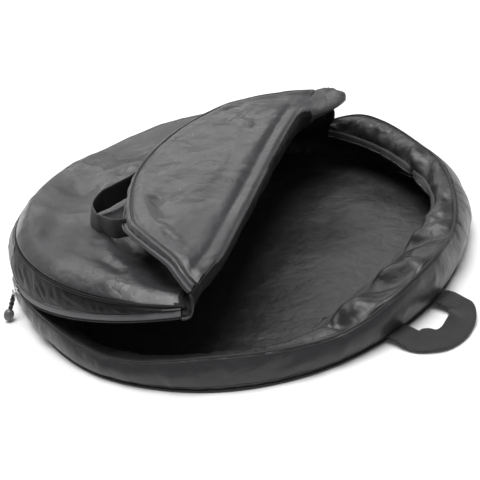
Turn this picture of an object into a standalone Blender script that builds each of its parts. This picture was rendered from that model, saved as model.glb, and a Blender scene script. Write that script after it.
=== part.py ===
"""Padded carry bag for one bicycle wheel, lying on its back panel with the
zipped lid open and folded over.

Metres, +Z up.  The origin is the centre of the round bottom panel, on the
surface the bag lies on.  +X points from the centre across the lid's fold, and
the fold runs along Y.  Angles round the bag are measured from +X, towards +Y.
"""
import bpy
import bmesh
import math
import numpy as np
from mathutils import Vector

# ---------------------------------------------------------------- dimensions
FABRIC_T = 0.0020          # face cloth, thin foam and lining, sewn together
WEBBING_W = 0.037          # handle webbing
WEBBING_T = 0.0026
BOTTOM_IN = 0.0035         # bottom panel ends this far inside its seam
BOTTOM_T = 0.0025
PIPING_R = 0.0018          # cord piping in the seams
COIL_R = 0.0020            # zip coil, as a round cord
TAPE_W = 0.0085            # visible width of the zip tape
TAPE_T = 0.0012

LID_R = 0.3600             # lid's edge seam
FOLD_X = 0.0580            # lid cloth leaves the flat part here and turns up
HINGE_X, HINGE_Z = 0.1120, 0.1470   # line the flap turns about
FLAP_R = 0.3600            # edge radius of the flap, measured when it is flat
FLAP_START = 0.0310        # flap cloth starts this far from the hinge line
FLAP_SLANT = 0.0400        # and the fold runs slightly askew to that line
FLAP_LEAVES = math.radians(155.3)   # slope of the flap where it leaves the fold
FLAP_CURL = 2.3            # radians of curl for each metre of flap
SKIRT_DROP = {-70: .009, -50: .010, -40: .012, -34: .017, -27: .027, -15: .034,
              70: .034}    # how far the flap's side band hangs, by its angle
# The fold's rolled edge, by distance along it: it flares into a rounded tongue
# where it ends at the back.
FOLD_FLARE = {-350: 0.0, 185: 0.0, 200: 0.004, 215: 0.017, 235: 0.037, 260: 0.050,
              285: 0.054, 310: 0.051, 330: 0.044, 345: 0.033, 356: 0.018}

ZIP_BACK, ZIP_FRONT = 78.0, 218.5   # zip runs the long way between these angles
FOLD_FRONT = 279.0         # front end of the fixed lid's zip edge

# Height and radius of the seams, by angle in degrees round the bag.  The
# cloth stands tallest on the handle side and slumps at the front.
BASE_R = {0: .3740, 10: .3800, 20: .3830, 45: .3830, 90: .3800, 180: .3800,
          203: .3820, 212: .3800, 220: .3710, 230: .3660, 244: .3730, 256: .3810,
          270: .3850, 285: .3890, 298: .3880, 310: .3840, 325: .3770, 342: .3730}
RIM_Z = {0: .074, 12: .079, 22: .086, 32: .091, 43: .092, 52: .099, 59: .105,
         67: .107, 75: .094, 84: .070, 96: .056, 120: .052,
         180: .050, 200: .046, 210: .040, 217: .036, 224: .043, 232: .049,
         240: .049, 248: .043, 258: .036, 266: .038, 274: .045, 285: .052,
         300: .050, 312: .047, 320: .054, 328: .067, 336: .076, 346: .079}
RIM_R = {0: .371, 12: .367, 22: .367, 32: .368, 45: .369, 60: .371, 80: .374, 120: .375,
         180: .375, 205: .374, 217: .3735, 232: .370, 248: .373, 262: .377,
         285: .379, 300: .380, 315: .380, 330: .379, 346: .376}
BULGE_R = {0: .386, 14: .393, 28: .398, 42: .399, 60: .391, 80: .386, 120: .385, 180: .387,
           200: .390, 217: .381, 232: .377, 248: .381, 262: .387, 285: .390,
           300: .390, 330: .386}
LID_Z = {77: .131, 90: .118, 105: .109, 126: .107, 147: .103, 162: .107,
         176: .115, 190: .118, 205: .123, 220: .129, 235: .133, 250: .134,
         265: .133, 283: .132}
STRIP_R = {222: .357, 228: .349, 240: .343, 260: .346, 285: .350, 300: .352,
           307: .347, 314: .334, 322: .314, 338: .301, 354: .303, 365: .320,
           376: .337, 396: .335, 415: .337, 438: .346}
STRIP_Z = {222: .040, 228: .033, 240: .026, 260: .020, 285: .024, 300: .030,
           307: .038, 314: .042, 322: .041, 338: .040, 354: .042, 365: .050,
           376: .060, 396: .062, 415: .068, 438: .074}

# Three points of the lid's zip edge at the front: angle, radius, height.
ZIP_EDGE = ((218.5, .3765, .046), (248.0, .370, .081), (280.0, .370, .114))

# Handle loops: (x, y, z) of the webbing's middle, and the direction its width
# lies along, from one end of the loop to the other.
BASE_HANDLE_ENDS = (326.8, 342.6)   # angles of the two sewn ends
LID_HANDLE_ENDS = (-32.5, -12.5)     # the same on the flap, in its own angle

BEAD_AT = (-0.3095, -0.2587, 0.0108)
BEAD_R = 0.0088


# ------------------------------------------------------------------- helpers
def clear_scene():
    for ob in list(bpy.data.objects):
        bpy.data.objects.remove(ob, do_unlink=True)


def smooth(table, deg, periodic=True):
    """Smooth value of an angle table (a cubic through its points)."""
    keys = sorted(table)
    if periodic:
        deg = deg % 360
        ks = [keys[-2] - 360, keys[-1] - 360] + keys + [keys[0] + 360,
                                                        keys[1] + 360]
    else:
        deg = min(max(deg, keys[0]), keys[-1])
        ks = [keys[0] - 10, keys[0] - 5] + keys + [keys[-1] + 5, keys[-1] + 10]

    def val(k):
        if periodic:
            return table[k % 360]
        return table[min(max(k, keys[0]), keys[-1])]
    for i in range(1, len(ks) - 2):
        if ks[i] <= deg <= ks[i + 1]:
            break
    k0, k1, k2, k3 = ks[i - 1:i + 3]
    v0, v1, v2, v3 = (val(k) for k in (k0, k1, k2, k3))
    m1 = (v2 - v0) / (k2 - k0)
    m2 = (v3 - v1) / (k3 - k1)
    h = k2 - k1
    t = (deg - k1) / h
    return ((2 * t ** 3 - 3 * t ** 2 + 1) * v1 + (t ** 3 - 2 * t ** 2 + t) * h * m1
            + (-2 * t ** 3 + 3 * t ** 2) * v2 + (t ** 3 - t ** 2) * h * m2)


def polar(r, deg, z):
    a = math.radians(deg)
    return Vector((r * math.cos(a), r * math.sin(a), z))


def steps(a, b, size):
    n = max(1, int(round(abs(b - a) / size)))
    return [a + (b - a) * i / n for i in range(n + 1)]


def material(name, colour, roughness, metallic=0.0):
    mat = bpy.data.materials.new(name)
    mat.use_nodes = True
    bsdf = mat.node_tree.nodes["Principled BSDF"]
    bsdf.inputs["Base Color"].default_value = (*colour, 1.0)
    bsdf.inputs["Roughness"].default_value = roughness
    bsdf.inputs["Metallic"].default_value = metallic
    return mat


def finish(ob, look, pivot):
    """Give a piece its material and hang it on its pivot empty."""
    bpy.context.scene.collection.objects.link(ob)
    ob.data.materials.append(material(ob.name, *look))
    if pivot is not None:
        ob.parent = pivot
    return ob


def mesh_object(name, bm, look, pivot=None):
    bmesh.ops.recalc_face_normals(bm, faces=bm.faces)
    if all(e.is_manifold for e in bm.edges) and bm.calc_volume(signed=True) < 0:
        bmesh.ops.reverse_faces(bm, faces=bm.faces)
    me = bpy.data.meshes.new(name)
    if pivot is not None:
        bmesh.ops.translate(bm, verts=bm.verts, vec=-pivot.location)
    bm.to_mesh(me)
    bm.free()
    me.shade_smooth()
    me.set_sharp_from_angle(angle=math.radians(40))
    return finish(bpy.data.objects.new(name, me), look, pivot)


def thicken(ob, thickness):
    mod = ob.modifiers.new("cloth thickness", "SOLIDIFY")
    mod.thickness = thickness
    mod.offset = 0.0
    mod.use_rim = True
    mod.use_even_offset = True
    return ob


def sheet(name, rows, look, thickness=FABRIC_T, closed=False, pivot=None):
    """A cloth surface through rows of points, given its thickness."""
    bm = bmesh.new()
    grid = [[bm.verts.new(p) for p in row] for row in rows]
    n = len(grid[0])
    for a, b in zip(grid, grid[1:]):
        for j in range(n if closed else n - 1):
            k = (j + 1) % n
            bm.faces.new((a[j], a[k], b[k], b[j]))
    return thicken(mesh_object(name, bm, look, pivot), thickness)


def dish(name, centre, rings, look, thickness=FABRIC_T, pivot=None):
    """A cloth panel as rings of points round a centre point."""
    bm = bmesh.new()
    mid = bm.verts.new(centre)
    loops = [[bm.verts.new(p) for p in ring] for ring in rings]
    n = len(loops[0])
    for j in range(n):
        bm.faces.new((mid, loops[0][j], loops[0][(j + 1) % n]))
    for a, b in zip(loops, loops[1:]):
        for j in range(n):
            k = (j + 1) % n
            bm.faces.new((a[j], b[j], b[k], a[k]))
    return thicken(mesh_object(name, bm, look, pivot), thickness)


def cord(name, points, radius, look, closed=False, pivot=None, resolution=1):
    """A round cord along the points: piping, a zip coil or a pull loop."""
    cu = bpy.data.curves.new(name, "CURVE")
    cu.dimensions = "3D"
    sp = cu.splines.new("POLY")
    sp.points.add(len(points) - 1)
    base = pivot.location if pivot is not None else Vector((0, 0, 0))
    for q, p in zip(sp.points, points):
        q.co = (*(Vector(p) - base), 1.0)
    sp.use_cyclic_u = closed
    cu.bevel_depth = radius
    cu.bevel_resolution = resolution
    cu.use_fill_caps = not closed
    return finish(bpy.data.objects.new(name, cu), look, pivot)


def webbing(name, path, look, width=WEBBING_W, thickness=WEBBING_T, pivot=None,
            cut=4):
    """A flat strap: path holds (middle point, width direction) pairs."""
    mids = [Vector(p) for p, _ in path]
    dirs = [Vector(d).normalized() for _, d in path]
    pts, wds = [], []
    n = len(path)
    for i in range(n - 1):
        p0 = mids[max(i - 1, 0)]
        p1, p2 = mids[i], mids[i + 1]
        p3 = mids[min(i + 2, n - 1)]
        for s in range(cut):
            t = s / cut
            pts.append(0.5 * ((2 * p1) + (p2 - p0) * t
                              + (2 * p0 - 5 * p1 + 4 * p2 - p3) * t * t
                              + (3 * p1 - p0 - 3 * p2 + p3) * t ** 3))
            wds.append(dirs[i].lerp(dirs[i + 1], t).normalized())
    pts.append(mids[-1])
    wds.append(dirs[-1])
    bm = bmesh.new()
    loops = []
    for i, (p, w) in enumerate(zip(pts, wds)):
        if i == 0:
            along = (mids[1] - mids[0]).normalized()
        elif i == len(pts) - 1:
            along = (mids[-1] - mids[-2]).normalized()
        else:
            along = (pts[i + 1] - pts[i - 1]).normalized()
        w = (w - along * w.dot(along)).normalized()
        up = along.cross(w).normalized()
        loops.append([bm.verts.new(p + w * (a * width / 2) + up * (b * thickness / 2))
                      for a, b in ((-1, -1), (1, -1), (1, 1), (-1, 1))])
    for a, b in zip(loops, loops[1:]):
        for j in range(4):
            k = (j + 1) % 4
            bm.faces.new((a[j], a[k], b[k], b[j]))
    bm.faces.new(loops[0][::-1])
    bm.faces.new(loops[-1])
    return mesh_object(name, bm, look, pivot)


def pivot_empty(name, at):
    e = bpy.data.objects.new(name, None)
    e.empty_display_size = 0.03
    e.location = at
    bpy.context.scene.collection.objects.link(e)
    return e


# ------------------------------------------------------------- lid surfaces
LID_MID = Vector((-0.12, 0.0))
LID_MID_Z = 0.1235


FOLD_Z = 0.1305


def lid_edge_z(deg):
    return smooth(LID_Z, deg % 360, periodic=False)


def lid_reach(dx, dy):
    """Distance from LID_MID to the lid's outline along a unit direction."""
    b = LID_MID.x * dx + LID_MID.y * dy
    c = LID_MID.length_squared - LID_R ** 2
    d = -b + math.sqrt(b * b - c)
    if dx > 1e-9:
        d = min(d, (FOLD_X - LID_MID.x) / dx)
    return d


def lid_z(x, y):
    """Height of the lid cloth's middle: nearly flat, with its edge's level."""
    dx, dy = x - LID_MID.x, y - LID_MID.y
    d = math.hypot(dx, dy)
    if d < 1e-9:
        return LID_MID_Z
    reach = lid_reach(dx / d, dy / d)
    ex, ey = LID_MID.x + dx / d * reach, LID_MID.y + dy / d * reach
    if ex > FOLD_X - 1e-6:
        edge = FOLD_Z
    else:
        edge = lid_edge_z(math.degrees(math.atan2(ey, ex)))
    t = min(d / reach, 1.0)
    return LID_MID_Z + (edge - LID_MID_Z) * t * t


def flap_point(u, v):
    """A point of the flap as it lies folded over: u is the distance from the
    hinge line along the cloth, v the distance along the fold."""
    p, c = FLAP_LEAVES, FLAP_CURL
    return Vector((HINGE_X + (math.sin(p + c * u) - math.sin(p)) / c, v,
                   HINGE_Z + (math.cos(p) - math.cos(p + c * u)) / c))


def flap_start(v):
    return FLAP_START + FLAP_SLANT * v


def flap_end(sign):
    """Angle at which the flap's round edge meets the fold, on either side."""
    a = sign * 1.2
    for _ in range(20):
        c = (HINGE_X + flap_start(FLAP_R * math.sin(a))) / FLAP_R
        a = sign * math.acos(c)
    return a


FLAP_FROM, FLAP_TO = flap_end(-1), flap_end(1)


def flap_edge(a, out=0.0):
    """Point on the flap's round edge, a in radians from its middle; out moves
    it along the cloth, past the edge."""
    r = FLAP_R + out
    return flap_point(r * math.cos(a) - HINGE_X, r * math.sin(a))


def flap_out(a):
    return (flap_edge(a, 0.004) - flap_edge(a)).normalized()


def flap_drop(a):
    e = flap_edge(a)
    drop = smooth(SKIRT_DROP, math.degrees(a), periodic=False)
    return max(0.004, min(drop, e.z - lid_z(e.x, e.y) - 0.013))


# ------------------------------------------------------- zip edge of the lid
def circle_through(points):
    a, b, c = points
    n = (b - a).cross(c - a).normalized()
    if n.z < 0:
        n = -n
    ab, ac = b - a, c - a
    u = ab.normalized()
    v = n.cross(u)
    bx, cx, cy = ab.length, ac.dot(u), ac.dot(v)
    x = bx / 2
    y = (cx * cx + cy * cy - bx * cx) / (2 * cy)
    centre = a + u * x + v * y
    return centre, n, (a - centre).length


ZIP_C, ZIP_N, ZIP_R = circle_through([polar(r, d, z) for d, r, z in ZIP_EDGE])


def zip_edge(deg):
    """Point of the lid's zip edge that lies at an angle round the bag."""
    a = math.radians(deg)
    flat = Vector((math.cos(a), math.sin(a), 0))
    side = Vector((-math.sin(a), math.cos(a), 0))
    # the ray at this angle in the zip edge's plane, met with its circle
    normal = side
    d = normal.cross(ZIP_N).normalized()
    if d.dot(flat) < 0:
        d = -d
    z0 = ZIP_N.dot(ZIP_C) / ZIP_N.z
    o = Vector((0, 0, z0))
    oc = o - ZIP_C
    b = oc.dot(d)
    t = -b + math.sqrt(b * b - (oc.length_squared - ZIP_R ** 2))
    return o + d * t


# ----------------------------------------------------------------- the looks
CLOTH = ((0.075, 0.070, 0.078), 0.42)
LID_CLOTH = ((0.085, 0.080, 0.088), 0.40)
LINING = ((0.110, 0.104, 0.113), 0.45)
SKIRT = ((0.060, 0.056, 0.062), 0.45)
PIPE = ((0.030, 0.029, 0.032), 0.55)
TAPE = ((0.120, 0.115, 0.125), 0.60)
COIL = ((0.045, 0.044, 0.048), 0.35)
WEB = ((0.035, 0.033, 0.037), 0.70)
METAL = ((0.55, 0.55, 0.57), 0.25, 1.0)
PLASTIC = ((0.10, 0.10, 0.105), 0.38)


# ---------------------------------------------------------------- the pieces
def make_bottom():
    degs = list(np.arange(0, 360, 5.0))
    bm = bmesh.new()
    low, high = ([bm.verts.new(polar(smooth(BASE_R, d) - BOTTOM_IN, d, z)) for d in degs]
                 for z in (0.0, BOTTOM_T))
    for j in range(len(degs)):
        k = (j + 1) % len(degs)
        bm.faces.new((low[j], low[k], high[k], high[j]))
    bm.faces.new(low[::-1])
    bm.faces.new(high)
    mesh_object("bottom_panel", bm, CLOTH)
    ring = [polar(smooth(BASE_R, d) + 0.0018, d, 0.0024) for d in degs]
    cord("bottom_seam_piping", ring, PIPING_R, PIPE, closed=True)


def make_lower_gusset():
    """Side band all round, from the floor to the rim seam."""
    degs = list(np.arange(0, 360, 5.0))
    rows = []
    for f in (0.0, 0.25, 0.55, 0.82, 1.0):
        row = []
        for d in degs:
            rim, top = smooth(RIM_R, d), smooth(RIM_Z, d) - 0.0035
            mid = smooth(BULGE_R, d)
            z = 0.0055 + (top - 0.0055) * f
            # a curve through the floor seam, the bulge and the rim seam
            r = ((1 - f) * (1 - 2 * f) * smooth(BASE_R, d) + 4 * f * (1 - f) * mid
                 + f * (2 * f - 1) * rim)
            row.append(polar(r, d, z))
        rows.append(row)
    sheet("lower_gusset", rows, CLOTH, closed=True)
    ring = [polar(smooth(RIM_R, d), d, smooth(RIM_Z, d)) for d in degs]
    cord("rim_seam_piping", ring, PIPING_R, PIPE, closed=True)


def strip_dir(d):
    rim = Vector((smooth(RIM_R, d), smooth(RIM_Z, d)))
    edge = Vector((smooth(STRIP_R, d, False), smooth(STRIP_Z, d, False)))
    return rim, edge, (edge - rim).normalized()


def make_zip_strip():
    """Upper band of the base along the open zip.  It has flopped inwards."""
    degs = steps(222.0, 436.0, 5.0)
    rows = []
    for f in (0.0, 0.35, 0.7, 1.0):
        row = []
        for d in degs:
            rim, edge, way = strip_dir(d)
            a, b = rim + way * 0.0036, edge
            p = a + (b - a) * f
            crown = 0.006 * math.sin(math.pi * f)
            row.append(polar(p.x, d, p.y + crown))
        rows.append(row)
    sheet("zip_strip_base", rows, CLOTH)
    tape = []
    for w in (0.0016, TAPE_W):
        row = []
        for d in degs:
            rim, edge, way = strip_dir(d)
            p = edge + way * w
            row.append(polar(p.x, d, max(p.y, 0.012)))
        tape.append(row)
    sheet("zip_tape_base", tape, TAPE, thickness=TAPE_T)
    line = []
    for d in degs:
        rim, edge, way = strip_dir(d)
        p = edge + way * (TAPE_W + COIL_R + 0.0006)
        line.append(polar(p.x, d, max(p.y, 0.012)))
    cord("zip_coil_base", line, COIL_R, COIL)


def make_rear_gusset():
    """Side band on the sewn side, between the rim seam and the lid."""
    degs = steps(78.0, 214.0, 5.0)
    rows = []
    for f in (0.0, 0.33, 0.67, 1.0):
        row = []
        for d in degs:
            r0, z0 = smooth(RIM_R, d), smooth(RIM_Z, d) + 0.0035
            r1, z1 = LID_R + 0.0022, lid_edge_z(d) - 0.0038
            full = 0.030 + 0.034 * math.exp(-((d - 200) / 14) ** 2)
            r = r0 + (r1 - r0) * f + full * f * (1 - f)
            row.append(polar(r, d, z0 + (z1 - z0) * f))
        rows.append(row)
    sheet("rear_gusset", rows, SKIRT)


def make_lid():
    """Fixed half of the lid: panel, piping, front side band and its zip."""
    n = 72
    ring_pts = []
    for i in range(n):
        a = 2 * math.pi * (i + 0.5) / n
        dx, dy = math.cos(a), math.sin(a)
        ring_pts.append((dx, dy, lid_reach(dx, dy)))
    rings = []
    for t in (0.3, 0.6, 0.82, 1.0):
        ring = []
        for dx, dy, reach in ring_pts:
            d = (reach - 0.0030) * t
            x, y = LID_MID.x + dx * d, LID_MID.y + dy * d
            ring.append(Vector((x, y, lid_z(x, y))))
        rings.append(ring)
    dish("lid_panel", Vector((LID_MID.x, LID_MID.y, LID_MID_Z)), rings, LID_CLOTH)

    degs = steps(82.0, 280.0, 4.0)
    cord("lid_seam_piping", [polar(LID_R + 0.0012, d, lid_edge_z(d) + 0.0004)
                             for d in degs], PIPING_R, PIPE)

    degs = steps(216.5, FOLD_FRONT, 2.5)
    rows = []
    for f in (0.0, 0.4, 0.75, 1.0):
        row = []
        for d in degs:
            foot = zip_edge(d)
            low = Vector((math.hypot(foot.x, foot.y), foot.z + COIL_R + TAPE_W + 0.0012))
            top = Vector((LID_R + 0.0022, lid_edge_z(d) - 0.0038))
            p = top.lerp(low, f)
            row.append(polar(p.x + 0.012 * f * (1 - f), d, p.y))
        rows.append(row)
    sheet("lid_side_band", rows, SKIRT)
    tape = []
    for up in (COIL_R + 0.0006, COIL_R + TAPE_W):
        tape.append([zip_edge(d) + Vector((0, 0, up)) for d in degs])
    sheet("zip_tape_lid", tape, TAPE, thickness=TAPE_T)
    cord("zip_coil_lid", [zip_edge(d) for d in degs], COIL_R, COIL)

    # the cloth of the fold, between the flat lid and the hinge line
    # it bulges out past the fold, and flares where it ends at the back
    rows = []
    for x, z, w in ((FOLD_X - 0.0004, FOLD_Z, 0.0), (0.070, 0.1302, 0.25),
                    (0.0795, 0.1325, 0.75), (0.0855, 0.1385, 1.0),
                    (0.0868, 0.1465, 1.0), (0.0850, 0.1540, 0.85)):
        row = []
        for y in steps(-0.332, 0.185, 0.043) + steps(0.185, 0.354, 0.013)[1:]:
            flare = smooth(FOLD_FLARE, y * 1000, periodic=False)
            skew = -FLAP_SLANT * (y + 0.02) * min(1.0, (x - FOLD_X) / 0.02 + 0.02)
            row.append(Vector((x + skew + w * flare, y,
                               z + 0.20 * flare * w * (z - FOLD_Z) / 0.02)))
        rows.append(row)
    sheet("lid_fold", rows, LID_CLOTH)


def make_flap():
    pivot = pivot_empty("flap_pivot", (HINGE_X, 0, HINGE_Z))
    # flap panel, as rings round a point in its middle
    cu, cv = 0.115, 0.0
    n = 60
    outline = []
    for i in range(n):
        a = 2 * math.pi * (i + 0.5) / n
        du, dv = math.cos(a), math.sin(a)
        # the round edge, in the flap's own flat coordinates
        ox, oy = cu + HINGE_X, cv
        b = ox * du + oy * dv
        c = ox * ox + oy * oy - (FLAP_R - 0.001) ** 2
        reach = -b + math.sqrt(b * b - c)
        if du - FLAP_SLANT * dv < -1e-9:
            reach = min(reach, (flap_start(cv) - cu) / (du - FLAP_SLANT * dv))
        outline.append((du, dv, reach))
    rings = []
    for t in (0.33, 0.66, 1.0):
        rings.append([flap_point(cu + du * r * t, cv + dv * r * t)
                      for du, dv, r in outline])
    dish("flap_panel", flap_point(cu, cv), rings, LINING, pivot=pivot)

    angs = list(np.linspace(FLAP_FROM + 0.02, FLAP_TO - 0.02, 37))
    cord("flap_seam_piping", [flap_edge(a, 0.0022) for a in angs], PIPING_R,
         PIPE, pivot=pivot)
    rows = []
    for f, out in ((0.0, 0.0046), (0.35, 0.0085), (0.7, 0.0095), (1.0, 0.0090)):
        row = []
        for a in angs:
            h = flap_out(a)
            h.z = 0
            e = flap_edge(a) + h.normalized() * out
            row.append(e + Vector((0, 0, -0.0030 - (flap_drop(a) - 0.003) * f)))
        rows.append(row)
    sheet("flap_side_band", rows, SKIRT, pivot=pivot)
    tape, line = [[], []], []
    for a in angs:
        h = flap_out(a)
        h.z = 0
        h.normalize()
        foot = flap_edge(a) + h * 0.0102 + Vector((0, 0, -flap_drop(a) - 0.0012))
        tape[0].append(foot + h * 0.0006)
        tape[1].append(foot + h * TAPE_W + Vector((0, 0, -0.0015)))
        line.append(foot + h * (TAPE_W + COIL_R + 0.0008) + Vector((0, 0, -0.0018)))
    sheet("zip_tape_flap", tape, TAPE, thickness=TAPE_T, pivot=pivot)
    cord("zip_coil_flap", line, COIL_R, COIL, pivot=pivot)
    return pivot


def make_base_handle():
    a_deg, b_deg = BASE_HANDLE_ENDS
    a, b = polar(0.3965, a_deg, 0.012), polar(0.3965, b_deg, 0.012)
    along = (b - a).normalized()
    out = Vector((along.y, -along.x, 0))
    # the sewn tabs, from the bottom seam out to the loop
    for name, deg in (("base_handle_tab_front", a_deg), ("base_handle_tab_rear", b_deg)):
        end = polar(0.3965, deg, 0.012)
        start = end - out * 0.0110
        webbing(name, [(start, along), (end - out * 0.0016, along)], WEB, cut=1)
    pivot = pivot_empty("base_handle_pivot", (a + b) / 2)
    m = (a + b) / 2
    span = (b - a).length

    def at(s, o, z):
        return m + along * (s * span) + out * o + Vector((0, 0, z - 0.012))
    up = Vector((0, 0, 1))
    path = [(at(-0.500, 0.0016, 0.012), along),
            (at(-0.505, 0.014, 0.0095), along + up * 0.1),
            (at(-0.49, 0.028, 0.0105), along * 0.6 - out * 0.75 + up * 0.28),
            (at(-0.40, 0.041, 0.0115), along * 0.35 - out * 0.87 + up * 0.32),
            (at(-0.27, 0.051, 0.0085), -out + up * 0.25),
            (at(-0.10, 0.054, 0.0075), -along * 0.18 - out + up * 0.16),
            (at(0.05, 0.053, 0.0105), -along * 0.4 - out * 0.9 + up * 0.25),
            (at(0.20, 0.050, 0.0145), -along * 0.75 - out * 0.55 + up * 0.38),
            (at(0.36, 0.038, 0.0125), -along - out * 0.1 + up * 0.2),
            (at(0.47, 0.024, 0.0085), -along - up * 0.1),
            (at(0.505, 0.012, 0.0095), -along),
            (at(0.500, 0.0016, 0.012), -along)]
    webbing("base_handle_strap", path, WEB, pivot=pivot, cut=4)
    return pivot, along, out


def make_lid_handle(flap_pivot):
    a1, a2 = (math.radians(d) for d in LID_HANDLE_ENDS)

    def foot(a, out, dz):
        h = flap_out(a)
        h.z = 0
        return flap_edge(a) + h.normalized() * out + Vector((0, 0, -flap_drop(a) + dz))
    p, q = foot(a1, 0.0275, 0.0085), foot(a2, 0.0275, 0.0085)
    along = (q - p).normalized()
    out = Vector((-along.y, along.x, 0)).normalized()
    if out.x > 0:
        out = -out
    for name, end in (("lid_handle_tab_front", p), ("lid_handle_tab_rear", q)):
        webbing(name, [(end - out * 0.0115, along), (end - out * 0.0016, along)],
                WEB, pivot=flap_pivot, cut=1)
    m = (p + q) / 2
    pivot = pivot_empty("lid_handle_pivot", m)
    span = (q - p).length
    up = Vector((0, 0, 1))

    def at(s, o, dz):
        return m + along * (s * span) + out * o + up * dz

    def lean(al, ou, u):
        return along * al + out * ou + up * u
    # the loop stands on its edge on the lid, with a quarter twist at each end
    path = [(at(-0.500, 0.0016, 0.0), lean(-1, 0, 0)),
            (at(-0.502, 0.0065, -0.0005), lean(-1, 0, 0.06)),
            (at(-0.508, 0.0125, -0.004), lean(-0.80, -0.05, 0.55)),
            (at(-0.505, 0.0190, -0.011), lean(-0.55, -0.10, 0.82)),
            (at(-0.45, 0.0235, -0.017), lean(-0.44, -0.20, 0.85)),
            (at(-0.36, 0.0270, -0.020), lean(-0.41, -0.18, 0.86)),
            (at(-0.26, 0.0325, -0.021), lean(-0.45, -0.16, 0.84)),
            (at(-0.14, 0.0410, -0.020), lean(-0.46, -0.21, 0.82)),
            (at(0.04, 0.0510, -0.017), lean(-0.36, -0.27, 0.87)),
            (at(0.18, 0.0540, -0.015), lean(-0.24, -0.30, 0.90)),
            (at(0.29, 0.0510, -0.013), lean(-0.28, -0.25, 0.89)),
            (at(0.38, 0.0430, -0.012), lean(-0.20, -0.13, 0.95)),
            (at(0.45, 0.0335, -0.010), lean(-0.06, -0.11, 0.98)),
            (at(0.500, 0.0230, -0.007), lean(0.15, -0.15, 0.95)),
            (at(0.510, 0.0140, -0.003), lean(0.75, -0.08, 0.62)),
            (at(0.502, 0.0065, -0.0005), lean(1, 0, 0.06)),
            (at(0.500, 0.0016, 0.0), lean(1, 0, 0))]
    webbing("lid_handle_strap", path, WEB, pivot=pivot, cut=4)
    return pivot, along, out


def make_slider():
    deg = ZIP_FRONT
    c = zip_edge(deg)
    radial = (c - ZIP_C).normalized()
    along = ZIP_N.cross(radial).normalized()
    up = ZIP_N.copy()
    gap, wall, half = 0.0028, 0.0015, 0.0065
    pivot = pivot_empty("slider_pivot", ZIP_C)

    # channel section round the coil, open upwards for the tape, with a lug
    # on the outer plate that carries the pull ring
    sec = [(-gap - wall, 0.0052), (-gap, 0.0052), (-gap, -0.0028), (gap, -0.0028),
           (gap, 0.0052), (gap + wall, 0.0052), (gap + wall, -0.0043),
           (-gap - wall, -0.0043)]
    bm = bmesh.new()
    ends = []
    for s in (-half, half):
        k = 0.82 if s < 0 else 1.0
        ends.append([bm.verts.new(c + radial * x + up * (z * (k if z > 0 else 1))
                                  + along * s) for x, z in sec])
    for j in range(8):
        k = (j + 1) % 8
        bm.faces.new((ends[0][j], ends[0][k], ends[1][k], ends[1][j]))
    bm.faces.new(ends[0][::-1])
    bm.faces.new(ends[1])
    body = mesh_object("slider_body", bm, METAL, pivot)

    # lug: a plate with an eye, joined to the body
    eye = c + radial * (gap + wall + 0.0034) + up * -0.0006
    pull = (Vector(BEAD_AT) - eye)
    flat = Vector((pull.x, pull.y, 0)).normalized()
    axis = Vector((flat.y, -flat.x, 0))
    bm = bmesh.new()
    rim = []
    for k in range(16):
        t = 2 * math.pi * k / 16
        rim.append(radial * math.cos(t) + up * math.sin(t))
    rings = {}
    for side in (-1, 1):
        for r in (0.0019, 0.0040):
            rings[side, r] = [bm.verts.new(eye + along * (side * 0.0008) + v * r) for v in rim]
    for j in range(16):
        k = (j + 1) % 16
        for side in (-1, 1):
            i_, o_ = rings[side, 0.0019], rings[side, 0.0040]
            bm.faces.new((i_[j], i_[k], o_[k], o_[j]))
        bm.faces.new([rings[-1, 0.0040][j], rings[-1, 0.0040][k],
                      rings[1, 0.0040][k], rings[1, 0.0040][j]])
        bm.faces.new([rings[-1, 0.0019][j], rings[-1, 0.0019][k],
                      rings[1, 0.0019][k], rings[1, 0.0019][j]])
    lug = mesh_object("slider_lug", bm, METAL, pivot)
    # the lug reaches into the outer plate and becomes one body with it
    union = body.modifiers.new("lug", "BOOLEAN")
    union.operation = "UNION"
    union.object = lug
    lug.hide_render = True
    lug.display_type = "WIRE"

    pull_pivot = pivot_empty("pull_pivot", eye)
    way = pull.normalized()
    side = axis
    # wire ring through the eye
    ring = []
    for k in range(24):
        t = 2 * math.pi * k / 24
        x = 0.0036 * math.cos(t)
        y = 0.0052 * math.sin(t)
        ring.append(eye + side * x + way * (0.0052 + y))
    cord("pull_ring", ring, 0.0007, METAL, closed=True, pivot=pull_pivot)
    # cord loop through the ring, both ends in the bead
    low = eye + way * 0.0104
    bead = Vector(BEAD_AT)
    top = bead - way * (BEAD_R * 1.15 + 0.0004)
    thick = way.cross(side).normalized()
    loop = []
    reach = (top - low).length
    for k in range(9):
        f = k / 8
        loop.append(top.lerp(low - way * 0.0030, f * 0.86) + thick * (0.0024 - 0.0002 * f))
    for k in range(1, 6):
        t = math.pi * k / 6
        loop.append(low - way * 0.0030 + way * (0.14 * (reach + 0.003) * (1 - math.sin(t)) * 1.0)
                    + thick * (0.0022 * math.cos(t)))
    for k in range(9):
        f = 1 - k / 8
        loop.append(top.lerp(low - way * 0.0030, f * 0.86) - thick * (0.0024 - 0.0002 * f))
    cord("pull_cord", loop, 0.0011, WEB, pivot=pull_pivot, resolution=1)
    bm = bmesh.new()
    bmesh.ops.create_uvsphere(bm, u_segments=20, v_segments=12, radius=BEAD_R)
    rot = Vector((0, 0, 1)).rotation_difference(way).to_matrix()
    for v in bm.verts:
        v.co.z *= 1.15
        v.co = rot @ v.co + bead
    mesh_object("pull_bead", bm, PLASTIC, pull_pivot)
    return pivot, pull_pivot, axis


def main():
    clear_scene()
    make_bottom()
    make_lower_gusset()
    make_zip_strip()
    make_rear_gusset()
    make_lid()
    flap_pivot = make_flap()
    make_base_handle()
    make_lid_handle(flap_pivot)
    make_slider()


main()
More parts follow.
